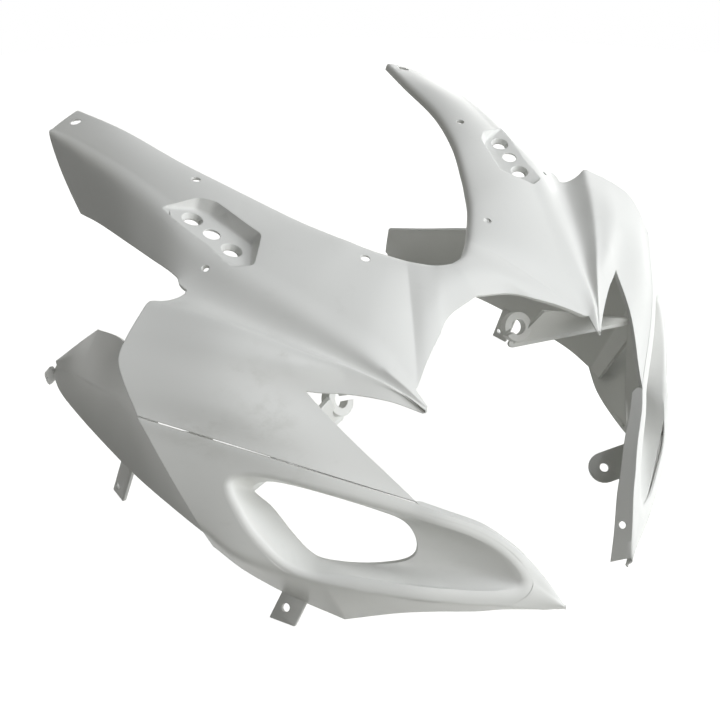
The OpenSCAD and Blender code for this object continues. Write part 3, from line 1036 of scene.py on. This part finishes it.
    def _rounding(self, s: Array, count: int) -> tuple[Array, Array]:
        """Return how much each point is rounded, first for sharp edges and then for soft ones.

        The shoulder and the spur are sharp. The windscreen edge, the crease and the corner at
        the rear end of the cheek are soft, and the crease tightens towards the wing's tip.

        Args:
            s: Station numbers of the rows.
            count: Number of columns.

        Returns:
            Weights for sharp and for soft rounding, each of shape (rows, columns).
        """
        c = self._columns()
        j = np.arange(count)[None, :]
        s = s[:, None]
        inner = (j > 0) & (j < count - 1)
        near = clamp01((6.0 - np.abs(j - c["crease"])) / 2) * (s < self.ROW_SPUR - 0.4)
        crease = near * mix(0.25, 1.0, ease(s / 0.6))
        rear = clamp01((6.0 - np.abs(j - c["cheek"])) / 3) * (s >= self.ROW_VALLEY)
        rear = rear * clamp01((6.6 - s) / 0.8)
        spur = clamp01((5.0 - np.abs(j - c["crease"])) / 2) * (s >= self.ROW_SPUR - 0.4)
        spur = spur * (s <= self.ROW_TIP) * (j > c["brow"] + self.STRIP)
        shoulder = clamp01((4.0 - np.abs(j - c["shoulder"])) / 2) * (s >= self.ROW_VALLEY)
        edge = clamp01((5.0 - np.abs(j - c["edge"])) / 2)
        sharp = np.maximum(spur, shoulder * (s <= self.ROW_TIP)) * inner
        return sharp, np.maximum(np.maximum(crease, rear), edge) * inner

    def _present(self, s: Array) -> Array:
        """Return which cells of the half are plastic, by the middle of their rows.

        Args:
            s: Station numbers of the rows.

        Returns:
            Cells of shape (rows - 1, columns - 1).
        """
        c = self._columns()
        m = 0.5 * (s[1:] + s[:-1])[:, None]
        j = np.arange(c["seam"])[None, :]
        hood = j < c["brow"]
        slit = (j >= c["brow"]) & (j < c["brow"] + self.STRIP)
        side = j >= c["brow"] + self.STRIP
        last = np.where(m > self.ROW_NOTCH, c["cheek"], c["seam"])
        last = np.where(m < self.ROW_VALLEY, c["valley"], last)
        body = side & (j < last) & (m < self.ROW_TIP)
        return hood | (slit & (m < self.ROW_SPUR)) | body

    def wall(self, extra: float = 0.0) -> Solid:
        """Return the whole sheet, both halves in one, with an extra thickness.

        Args:
            extra: Thickness added to the wall.

        Returns:
            The sheet as a solid.
        """
        s = self.rows()
        half = self.half_grid(s, Side.LEFT)
        other = self.half_grid(s, Side.RIGHT)[-2::-1] * np.array([-1.0, 1.0, 1.0])
        present = self._present(s)
        depth = np.full(half.shape[:2], WALL + extra)
        thin = mix(WALL, 1.0, clamp01(s - self.ROW_SPUR + 1))[:, None] + extra
        depth = np.where(np.arange(half.shape[1])[None, :] > self._columns()["brow"], thin, depth)
        return oriented(shell(np.concatenate([half, other]),
                              np.concatenate([present, present[::-1]]),
                              np.concatenate([depth, depth[-2::-1]])))

    def build(self, seat: MirrorSeat) -> Moulding:
        """Make the moulding: the sheet, the sunk seats, their bosses and all the bores.

        Args:
            seat: The mirror seat on the rider's left.

        Returns:
            The moulding, not yet dressed.
        """
        body = Moulding("upper_cowl_skin", self.wall())
        thick = self.wall(20.0)
        hollow = seat.block(0.0, 0.0, 1.5)
        for side in Side:
            body.cut(hollow.mirrored(side))
        for side in Side:
            cup = Moulding("seat_cup", seat.block(WALL, -WALL, 1.5).mirrored(side))
            cup.cut(hollow.mirrored(side))
            cup.keep_inside(thick)
            body.add(cup.solid())
            cup.discard()
            for bolt in seat.bolts():
                boss = round_bar(bolt, seat.bolt_bore / 2 + seat.boss_wall,
                                 -WALL - seat.boss_length, -WALL / 2)
                body.add(boss.mirrored(side))
            for bolt in seat.bolts():
                body.cut(shaped_bore(bolt, seat.bolt_profile(), 72).mirrored(side))
            body.cut(shaped_bore(seat.axes(), seat.pin_profile(), 56).mirrored(side))
            for number, at in enumerate(self.screen_holes):
                axes = axes_along(place(at), np.array([0.1, -0.3, 1.0]), np.array([1.0, 0, 0]))
                blind = (side, number) in self.blind_holes
                rim = self.screen_bore / 2 + self.bore_ease
                profile = self._dimple() if blind else self._relieved(rim)
                body.cut(shaped_bore(axes, profile).mirrored(side))
            axes = axes_along(place(self.wing_hole), np.array([0.5, -0.2, 1.0]),
                              np.array([1.0, 0, 0]))
            rim = self.wing_bore / 2 + self.bore_ease
            body.cut(shaped_bore(axes, self._relieved(rim)).mirrored(side))
        return body


@dataclass
class Scoop:
    """Recess in the intake panel that narrows to the mouth of the air duct."""

    centre: tuple[float, float, float] = (147.7, -181.2, -149.5)
    back: tuple[float, float, float] = (0.731, 0.588, 0.346)
    normal: tuple[float, float, float] = (0.498, -0.807, 0.319)
    length: float = 208.0
    height: float = 54.0
    depth: float = 18.0
    mouth_length: float = 114.0
    mouth_height: float = 40.0
    rim_reach: float = 2.6
    soft_reach: float = 5.5
    front_bend: float = 2.2
    count: int = 168

    RIM = ((-0.46, 0.26), (-0.4, 0.42), (-0.24, 0.47), (0.05, 0.49), (0.29, 0.48),
           (0.44, 0.33), (0.53, 0.07), (0.48, -0.18), (0.28, -0.33), (0.02, -0.46),
           (-0.18, -0.53), (-0.31, -0.33), (-0.41, -0.02))
    MOUTH = ((-0.69, 0.15), (-0.64, 0.35), (-0.44, 0.43), (0, 0.44), (0.2, 0.37),
             (0.31, 0.05), (0.28, -0.23), (0.07, -0.5), (-0.16, -0.63), (-0.27, -0.57),
             (-0.4, -0.35), (-0.55, -0.05))

    def axes(self) -> Axes:
        """Return the scoop's frame: back, up and out of the panel.

        Returns:
            The frame.
        """
        back = unit(self.back)
        normal = square_to(np.array(self.normal), back)
        return Axes(place(self.centre), back, np.cross(normal, back), normal)

    def local(self, points: Array) -> Array:
        """Return points of the model in the scoop's frame."""
        a = self.axes()
        return (points - a.origin) @ np.stack([a.u, a.v, a.w]).T

    def _ring(self, corners: tuple, length: float, height: float) -> Array:
        """Return a closed outline in millimetres, with x pointing back."""
        flat = closed_curve(np.array(corners), self.count)
        return flat * np.array([-length, height])

    @staticmethod
    def _height(ring: Array, face: Array) -> Array:
        """Return how far the panel's face stands out of the scoop's flat plane.

        It is the least-squares plane through the nearby face points at each ring point, with
        weights exp(-(d / 5 mm)^2).

        Args:
            ring: Flat points of shape (n, 2).
            face: Points of the face in the scoop's frame, shape (m, 3).

        Returns:
            Heights of shape (n,).
        """
        gap = face[None, :, :2] - ring[:, None]
        weight = np.exp(-np.sum(gap ** 2, -1) / 25.0) + 1e-12
        terms = np.concatenate([np.ones_like(gap[..., :1]), gap], -1)
        normal = np.einsum("nmi,nm,nmj->nij", terms, weight, terms) + 1e-9 * np.eye(3)
        right = np.einsum("nmi,nm,m->ni", terms, weight, face[:, 2])
        return np.linalg.solve(normal, right[..., None])[:, 0, 0]

    def block(self, grow: float, top: float, tail: float, face: Array) -> Solid:
        """Return the recess as a solid.

        Each point of the rim has a wall that runs straight to the mouth behind, and at the
        front sinks as 1 - (1 - t)^k, steeper at first. An arc joins the face to that wall. It
        starts and ends one reach away from their corner, further at the front and the bottom.

        Args:
            grow: Wall to add all round.
            top: How far the solid stands out of the face.
            tail: How far it goes on behind the mouth.
            face: Points of the panel's face in the scoop's frame.

        Returns:
            The solid.
        """
        rim = self._ring(self.RIM, self.length, self.height)
        mouth = self._ring(self.MOUTH, self.mouth_length, self.mouth_height)
        away = outward(rim)
        soft = ease(clamp01(0.15 - 0.75 * away[:, 0] - 0.55 * away[:, 1]))
        reach = mix(self.rim_reach, self.soft_reach, soft)
        bend = mix(1.0, self.front_bend, ease(clamp01(-away[:, 0])))
        run = np.linalg.norm(mouth - rim, axis=1)
        slope = np.arctan2(bend * self.depth, run)
        radius = reach / np.tan(slope / 2)

        def ring(share: float) -> Array:
            """Return the ring after a share of the arc, which starts level with the face.

            Args:
                share: Share of the arc, from 0 to 1.

            Returns:
                Points of shape (n, 3).
            """
            angle = slope * share
            flat = grown(rim, reach - radius * np.sin(angle) + grow * np.sin(angle))
            down = radius * (1 - np.cos(angle)) + grow * np.cos(angle)
            return np.column_stack([flat, self._height(flat, face) - down])

        first = ring(0.0)
        rings = [first + np.array([0.0, 0.0, top])]
        rings += [ring(share) for share in np.linspace(0, 1, 8)]
        start = rings[-1]
        end = np.column_stack([grown(mouth, grow), np.full(len(mouth), -self.depth - grow)])
        for t in np.linspace(0, 1, 13)[1:]:
            sunk = 1 - (1 - t) ** bend
            rings.append(np.column_stack([mix(start[:, :2], end[:, :2], t),
                                          mix(start[:, 2], end[:, 2], sunk)]))
        rings.append(end - np.array([0.0, 0.0, tail]))
        return oriented(loft(self.axes().out(np.stack(rings))))


@dataclass
class IntakePanel:
    """Side moulding under a cheek, with bevel, scoop, flank, return, ear and mounting tab."""

    bevel: float = 9.0
    swell: float = 2.0
    return_run: tuple[tuple[float, float, float], ...] = ((-2, 8, -1), (-8, 10, -7))
    ear_hole: tuple[float, float, float] = (77, -191, -187)
    ear_root: tuple[float, float, float] = (101, -202, -180)
    ear_facing: tuple[float, float, float] = (-0.2, -0.6, 0.8)
    ear_width: float = 24.0
    ear_bore: float = 7.0
    tab_at: tuple[float, float, float] = (176.5, -136, -215.5)
    tab_fall: tuple[float, float, float] = (12, -1, -13.7)
    tab_along: tuple[float, float, float] = (0.46, 0.88, 0)
    return_hole: tuple[float, float, float] = (41.6, -237.2, -194.3)
    return_facing: tuple[float, float, float] = (-0.8, -0.23, 0.56)
    return_bore: float = 5.4

    FRONT = ((114, -187.4, -128), (98, -200.5, -136.5), (77, -215, -149), (63.5, -226, -162.5),
             (55, -233, -173.5), (43.5, -244.5, -193.5), (34.5, -253, -213))
    FOLD = ((232, -125, -134), (220, -140, -150), (199, -157, -162), (178.5, -175, -168.5),
            (158.5, -191, -176), (132, -209.5, -183), (105.5, -224, -192), (83, -235, -199),
            (68, -241.5, -205), (47, -248.5, -214), (31.5, -253, -217))
    BOTTOM = ((204, -74, -198), (192, -97, -211), (176, -132, -217), (159, -170, -217.5),
              (127, -188, -217), (105, -203, -217), (85, -218, -217), (69, -228, -217),
              (57, -237, -217), (43, -247.5, -217), (32.5, -254.5, -217.5))
    TIP, CHIN, KEEL = 4, 10, 3
    RETURN, BEVEL, FACE, UNDER = 4, 4, 36, 14

    def grid(self, q: Array, scoop: Scoop) -> Array:
        """Return the outer points of the panel.

        Columns run from the inner edge of the return over the top edge, the bevel and the
        face to the fold, and from there straight down the flank.

        Args:
            q: Station numbers of the rows.
            scoop: The scoop, whose frame gives the panel's directions.

        Returns:
            Points of shape (rows, columns, 3), in the frame of the model.
        """
        a = scoop.axes()
        up, normal = a.v, a.w
        seam = curve(UpperCowl.SEAM, np.minimum(q, self.TIP) / 2)
        front = curve(self.FRONT, np.maximum(q - self.TIP, 0))
        top = np.where((q <= self.TIP)[:, None], seam, front) - up * FIT_GAP
        fold, bottom = curve(self.FOLD, q), cornered(self.BOTTOM, q, self.KEEL)
        span = np.linalg.norm(fold - top, axis=1)
        share = np.minimum(self.bevel / span, 0.3)[:, None]
        bevel = mix(top, fold, share) + normal * 6 * share
        run = mix(np.array(self.return_run[0], float), np.array(self.return_run[1], float),
                  clamp01((q - self.TIP) / (self.CHIN - self.TIP))[:, None])
        starts = np.sqrt(clamp01((q - self.TIP) / 0.35))
        run = run * mix(0.15, 1.0, starts)[:, None]
        t = np.linspace(0, 1, self.RETURN, endpoint=False)[:, None, None]
        back = mix(top + run, top, t)
        t = np.linspace(0, 1, self.BEVEL, endpoint=False)[:, None, None]
        strip = mix(top, bevel, t) + normal * 0.4 * bump(t)
        t = np.linspace(0, 1, self.FACE + 1)[:, None, None]
        face = mix(bevel, fold, t) + normal * self.swell * bump(t)
        t = np.linspace(0, 1, self.UNDER + 1)[1:, None, None]
        under = mix(fold, bottom, t)
        grid = np.concatenate([back, strip, face, under]).transpose(1, 0, 2)
        return place(soften(grid, self._rounding(q, grid.shape[1]), 8))

    def _rounding(self, q: Array, count: int) -> Array:
        """Return how much each point is rounded: at the bevel line and the fold.

        Args:
            q: Station numbers of the rows.
            count: Number of columns.

        Returns:
            Weights of shape (rows, columns).
        """
        j = np.arange(count)[None, :]
        bevel = self.RETURN + self.BEVEL
        fold = bevel + self.FACE
        near_bevel = clamp01((3.5 - np.abs(j - bevel)) / 2) * 0.8
        soft = 0.35 + 0.65 * clamp01(1 - q[:, None] / 3)
        near_fold = clamp01((6.0 - np.abs(j - fold)) / 3) * soft
        inside = (j > self.RETURN) & (j < count - 1)
        return np.maximum(near_bevel, near_fold) * inside

    def _tab(self) -> tuple[Solid, Solid]:
        """Return the mounting tab and its bore.

        Returns:
            The tab and the bore.
        """
        side = unit(self.tab_along)
        fall = np.array(self.tab_fall, float)
        down = square_to(fall, side)
        drift, reach = float(fall @ side), float(fall @ down)
        axes = Axes(place(self.tab_at) + np.cross(side, down) * TAB_THICKNESS / 2,
                    side, down, np.cross(side, down))
        return tab_solids(axes, drift, reach)

    def build(self, side: Side, scoop: Scoop) -> Moulding:
        """Make one panel.

        Args:
            side: The rider's side.
            scoop: The scoop on the rider's left.

        Returns:
            The moulding, not yet dressed.
        """
        q = steps((0, self.TIP, 64), (self.TIP, self.CHIN - 0.1, 84))
        grid = self.grid(q, scoop)
        present = np.ones((len(q) - 1, grid.shape[1] - 1), bool)
        middle = 0.5 * (q[1:] + q[:-1])[:, None]
        past = middle > self.TIP + 0.04
        present &= (np.arange(grid.shape[1] - 1)[None, :] >= self.RETURN) | past
        depth = np.broadcast_to(mix(WALL, 1.2, clamp01(q - self.CHIN + 1))[:, None], grid.shape[:2])
        body = Moulding(f"intake_{side.name.lower()}_skin",
                        oriented(shell(grid, present, depth)).mirrored(side))
        face = scoop.local(grid[:, self.RETURN:self.RETURN + self.BEVEL + self.FACE + 1])
        face = face.reshape(-1, 3)
        body.add(scoop.block(WALL, 0.6 * WALL, 0.5, face).mirrored(side))
        hole, root = place(self.ear_hole), place(self.ear_root)
        run = unit(root - hole)
        facing = square_to(np.array(self.ear_facing), run)
        axes = Axes(hole, run, np.cross(facing, run), facing)
        reach = np.array([float(np.linalg.norm(root - hole)), 0.0])
        body.add(flat_plate(axes, bar_outline(reach, self.ear_width), TAB_THICKNESS).mirrored(side))
        tab, bore = self._tab()
        body.add(tab.mirrored(side))
        body.cut(bore.mirrored(side))
        body.cut(round_bar(axes, self.ear_bore / 2, -6, 6).mirrored(side))
        body.cut(scoop.block(0.0, 8.0, 30.0, face).mirrored(side))
        slot = axes_along(place(self.return_hole), np.array(self.return_facing),
                          np.array([0.0, 1.0, 0.0]))
        body.cut(round_bar(slot, self.return_bore / 2, -6, 6).mirrored(side))
        return body


def tab_solids(axes: Axes, drift: float, reach: float, width: float = 20.0,
               root: float = 5.0, bore: float = 6.0) -> tuple[Solid, Solid]:
    """Return a flat mounting tab and the bore through it.

    Args:
        axes: Frame of the tab: along its lower edge, down it, and across it.
        drift: How far the lower edge is shifted along.
        reach: How far it hangs down.
        width: Width of the tab.
        root: How far it runs up behind the panel.
        bore: Diameter of its hole.

    Returns:
        The tab and the bore, in the frame of the model.
    """
    half = width / 2
    corners = np.array([(-half, -root), (half, -root),
                        (half + drift, reach), (-half + drift, reach)])
    dense = np.stack([corners + (np.roll(corners, k, 0) - corners) * near
                      for k, near in ((1, 0.12), (0, 0.0), (-1, 0.12))], 1).reshape(-1, 2)
    tab = flat_plate(axes, cut_corners(dense, 2), TAB_THICKNESS)
    hole_axes = Axes(axes.out(np.array([drift, reach - half, 0.0])), axes.u, axes.v, axes.w)
    return tab, round_bar(hole_axes, bore / 2, -TAB_THICKNESS * 2, TAB_THICKNESS * 2, 32)


@dataclass
class RearPanel:
    """Side moulding behind the intake panel, with its tab and its tail loop."""

    step: float = 4.0
    tab_at: tuple[float, float, float] = (216.5, 42, -193)
    tab_fall: tuple[float, float, float] = (6, 18, -37.5)
    loop_at: tuple[float, float, float] = (208, 235, -202)
    loop_reach: tuple[float, float] = (22, -17)
    loop_width: float = 13.0
    loop_bore: float = 6.0

    TOP_CORNER = {Side.LEFT: 5, Side.RIGHT: 4}
    TOP = ((236, -78, -78), (214, -20, -86), (198, 40, -96), (191, 88, -104))
    TOP_END = {Side.LEFT: ((185, 150, -122.3), (186, 210.6, -141), (200, 234, -180)),
               Side.RIGHT: ((185, 152, -126.5), (186, 200, -158.8), (200, 234, -188.2))}
    BORDER = ((233, -98, -108), (221, -20, -116), (212, 45, -130), (209, 105, -151),
              (206, 150, -168), (203, 195, -184), (204, 232, -193))
    LOW = ((200.6, -79.5, -195.6), (209, -40, -191.5), (216, 20, -191.5), (219, 80, -192),
           (219, 145, -195), (216, 195, -199), (209, 232, -200))
    LAP = ((206, -97, -88), (213, -123, -119), (193.5, -95, -196.5))
    TAIL = 6
    UPPER, STEP, LOWER = 10, 4, 20

    def grid(self, q: Array, side: Side) -> Array:
        """Return the outer points: a bowed upper band, a small step inwards, a plain skirt.

        Rows before station 0 go straight from there to the lap behind the intake panel.

        Args:
            q: Station numbers of the rows, from -1 to the tail.
            side: The rider's side, because the two tails sit a little differently.

        Returns:
            Points of shape (rows, columns, 3), in the frame of the model.
        """
        on = np.maximum(q, 0.0)
        top = cornered(self.TOP + self.TOP_END[side], on, self.TOP_CORNER[side])
        border, low = curve(self.BORDER, on), curve(self.LOW, on)
        lap = clamp01(-q)[:, None]
        top, border, low = (mix(p, np.array(end, float), lap)
                            for p, end in zip((top, border, low), self.LAP))
        fade = np.minimum(1, (self.TAIL - on) / 2) * np.minimum(1, on)
        foot = mix(border, low, 0.12) - np.array([self.step, 0, 0]) * fade[:, None]
        middle = mix(top, border, 0.5) + np.array([2.0, 0, 1.0])
        upper = across([top, middle, border], np.linspace(0, 2, self.UPPER + 1))
        k = np.linspace(0, 1, self.STEP + 1)[1:, None, None]
        ledge = mix(border, foot, k).transpose(1, 0, 2)
        k = np.linspace(0, 1, self.LOWER + 1)[1:, None, None]
        skirt = mix(foot, low, k).transpose(1, 0, 2)
        grid = np.concatenate([upper, ledge, skirt], 1)
        j = np.arange(grid.shape[1])
        weight = clamp01((7.0 - np.abs(j - self.UPPER - self.STEP / 2)) / 3) * (j > 0)
        weight[-1] = 0
        return place(soften(grid, np.broadcast_to(weight, grid.shape[:2]), 5))

    def build(self, side: Side) -> Moulding:
        """Make one panel.

        Args:
            side: The rider's side.

        Returns:
            The moulding, not yet dressed.
        """
        q = steps((-1, 0, 14), (0, self.TAIL, 96))[::-1]
        grid = self.grid(q, side)
        present = np.ones((len(q) - 1, grid.shape[1] - 1), bool)
        wall = oriented(shell(grid, present, np.full(grid.shape[:2], WALL)))
        body = Moulding(f"rear_{side.name.lower()}_skin", wall.mirrored(side))
        along, fall = np.array([0.0, 1.0, 0.0]), np.array(self.tab_fall, float)
        down = square_to(fall, along)
        across_tab = np.cross(along, down)
        axes = Axes(place(self.tab_at) + across_tab * TAB_THICKNESS / 2, along, down, across_tab)
        tab, bore = tab_solids(axes, float(fall @ along), float(fall @ down))
        body.add(tab.mirrored(side))
        body.cut(bore.mirrored(side))
        loop_axes = Axes(place(self.loop_at), np.array([0.0, 1.0, 0.0]),
                         np.array([0.0, 0.0, 1.0]), np.array([1.0, 0.0, 0.0]))
        outline = bar_outline(np.array(self.loop_reach, float), self.loop_width)
        body.add(flat_plate(loop_axes, outline, TAB_THICKNESS).mirrored(side))
        end = loop_axes.out(np.array([*self.loop_reach, 0.0]))
        hole = Axes(end, loop_axes.u, loop_axes.v, loop_axes.w)
        body.cut(round_bar(hole, self.loop_bore / 2, -6, 6, 32).mirrored(side))
        return body


@dataclass(frozen=True)
class Lamp:
    """One soft lamp: where it stands as seen from above, how high, its watts and colour.

    Azimuth 0 is in front of the fairing and 90 is on the rider's left.
    """

    name: str
    azimuth: float
    elevation: float
    power: float
    colour: tuple[float, float, float]


@dataclass
class Studio:
    """Pale floor, soft lamps and the camera of the photograph."""

    camera_at: tuple[float, float, float] = (-394.54, -501.58, 452.73)
    side_ways: tuple[float, float, float] = (1300.0, 500.0, -850.0)
    lens: float = 42.5
    sensor: float = 36.0
    lamp_size: float = 1.1
    lamp_distance: float = 2.2
    lamp_aim: tuple[float, float, float] = (0.0, -0.02, 0.14)
    sky: float = 0.03
    floor_radius: float = 2.0
    floor_sides: int = 96
    floor_glow: float = 0.93

    LAMPS = (Lamp("key", 40, 10, 26.0, (0.96, 0.98, 1.0)),
             Lamp("front_fill", 0, 10, 13.5, (1.0, 1.0, 0.98)),
             Lamp("high_left", 60, 55, 18.0, (0.96, 0.98, 1.0)),
             Lamp("rear_left", 120, 12, 10.0, (1.0, 1.0, 0.97)),
             Lamp("rear_right", 200, 38, 4.0, (1.0, 1.0, 0.9)))

    def camera(self) -> None:
        """Create the camera.

        The picture's right, up and back axes come from the place where lines along X meet in
        the photograph, 1300 px right of and 500 px above its centre at 850 px focal length.
        """
        side = unit(np.array(self.side_ways))
        lift = math.atan2(side[1], -side[2])
        up = np.array([0.0, math.cos(lift), math.sin(lift)])
        rows = np.stack([side, np.cross(up, side), up])
        data = bpy.data.cameras.new("photo_camera")
        data.lens = self.lens
        data.sensor_width = self.sensor
        data.clip_start = 0.05
        data.clip_end = 50.0
        camera = bpy.data.objects.new("photo_camera", data)
        bpy.context.scene.collection.objects.link(camera)
        matrix = np.eye(4)
        matrix[:3, :3] = rows
        matrix[:3, 3] = np.array(self.camera_at) * METRE
        camera.matrix_world = mathutils.Matrix(matrix.tolist())
        bpy.context.scene.camera = camera

    def lamp(self, lamp: Lamp) -> None:
        """Add a square soft lamp that faces the middle of the fairing.

        Args:
            lamp: Its direction, power and colour.
        """
        data = bpy.data.lights.new(lamp.name, "AREA")
        data.size = self.lamp_size
        data.energy = lamp.power
        data.color = lamp.colour
        turn, lift = math.radians(lamp.azimuth), math.radians(lamp.elevation)
        away = mathutils.Vector((math.sin(turn) * math.cos(lift),
                                 -math.cos(turn) * math.cos(lift), math.sin(lift)))
        obj = bpy.data.objects.new(lamp.name, data)
        obj.rotation_euler = (-away).to_track_quat("-Z", "Y").to_euler()
        obj.location = mathutils.Vector(self.lamp_aim) + away * self.lamp_distance
        obj.visible_camera = False
        bpy.context.scene.collection.objects.link(obj)

    @staticmethod
    def _white_view(n: Nodes) -> bpy.types.NodeSocket:
        """Return 1 for rays from the camera, a reflection or a clear material, and else 0.

        Args:
            n: Nodes of the floor or the sky.

        Returns:
            Socket with the share.
        """
        path = n.add("ShaderNodeLightPath")
        seen = n.math("MAXIMUM", path.outputs["Is Camera Ray"], path.outputs["Is Glossy Ray"])
        return n.math("MAXIMUM", seen, path.outputs["Is Transmission Ray"])

    def world(self) -> None:
        """Set the sky: white where it is seen, and dim as a light."""
        world = bpy.data.worlds.new("studio")
        bpy.context.scene.world = world
        world.use_nodes = True
        n = Nodes(world.node_tree)
        light = n.add("ShaderNodeBackground", Color=(1.0, 1.0, 0.97, 1.0), Strength=self.sky)
        white = n.add("ShaderNodeBackground", Color=(1.0, 1.0, 1.0, 1.0), Strength=1.0)
        chosen = n.add("ShaderNodeMixShader")
        n.link(self._white_view(n), chosen.inputs["Fac"])
        n.link(light.outputs[0], chosen.inputs[1])
        n.link(white.outputs[0], chosen.inputs[2])
        output = n.add("ShaderNodeOutputWorld")
        n.link(chosen.outputs[0], output.inputs["Surface"])

    def floor(self) -> None:
        """Lay the floor: a disc of pale paper that looks white and keeps a soft shadow."""
        angle = np.linspace(0, 2 * np.pi, self.floor_sides, endpoint=False)
        flat = np.zeros_like(angle)
        ring = np.stack([np.cos(angle), np.sin(angle), flat], -1) * self.floor_radius
        mesh = bpy.data.meshes.new("floor")
        mesh.from_pydata(ring.tolist(), [], [tuple(range(self.floor_sides))])
        floor = bpy.data.objects.new("floor", mesh)
        bpy.context.scene.collection.objects.link(floor)
        material = bpy.data.materials.new("pale_paper")
        material.use_nodes = True
        n = Nodes(material.node_tree)
        paper = n.add("ShaderNodeBsdfDiffuse", Color=(0.50, 0.50, 0.46, 1.0))
        glow = n.add("ShaderNodeEmission", Color=(1.0, 1.0, 1.0, 1.0))
        n.link(n.math("MULTIPLY", self._white_view(n), self.floor_glow), glow.inputs["Strength"])
        both = n.add("ShaderNodeAddShader")
        n.link(paper.outputs[0], both.inputs[0])
        n.link(glow.outputs[0], both.inputs[1])
        output = n.add("ShaderNodeOutputMaterial")
        n.link(both.outputs[0], output.inputs["Surface"])
        mesh.materials.append(material)

    def build(self) -> None:
        """Set up everything that isn't the fairing."""
        bpy.context.scene.view_settings.view_transform = "Standard"
        self.camera()
        self.floor()
        self.world()
        for lamp in self.LAMPS:
            self.lamp(lamp)


def dress_brackets(material: bpy.types.Material) -> None:
    """Give the two headlight brackets, kept as they are, the moulded finish.

    Args:
        material: The moulded finish.
    """
    for side in Side:
        node = bpy.data.objects[f"headlight_bracket_{side.name.lower()}"]
        for k in range(len(node.material_slots)):
            node.material_slots[k].material = material
        LOG.info("%s: finish only", node.name)


def main() -> None:
    """Build the fairing piece by piece, light it and log each piece's face count."""
    logging.basicConfig(level=logging.INFO, format="%(message)s")
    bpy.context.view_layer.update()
    plastic = MouldedPlastic("moulded_plastic").material()
    seat, scoop = MirrorSeat(), Scoop()
    UpperCowl().build(seat).finish(plastic, ["upper_cowl"])
    for side in Side:
        name = side.name.lower()
        IntakePanel().build(side, scoop).finish(plastic, [f"intake_panel_{name}"])
        RearPanel().build(side).finish(plastic, [f"rear_panel_{name}"])
    dress_brackets(plastic)
    Studio().build()


if __name__ == "__main__":
    main()
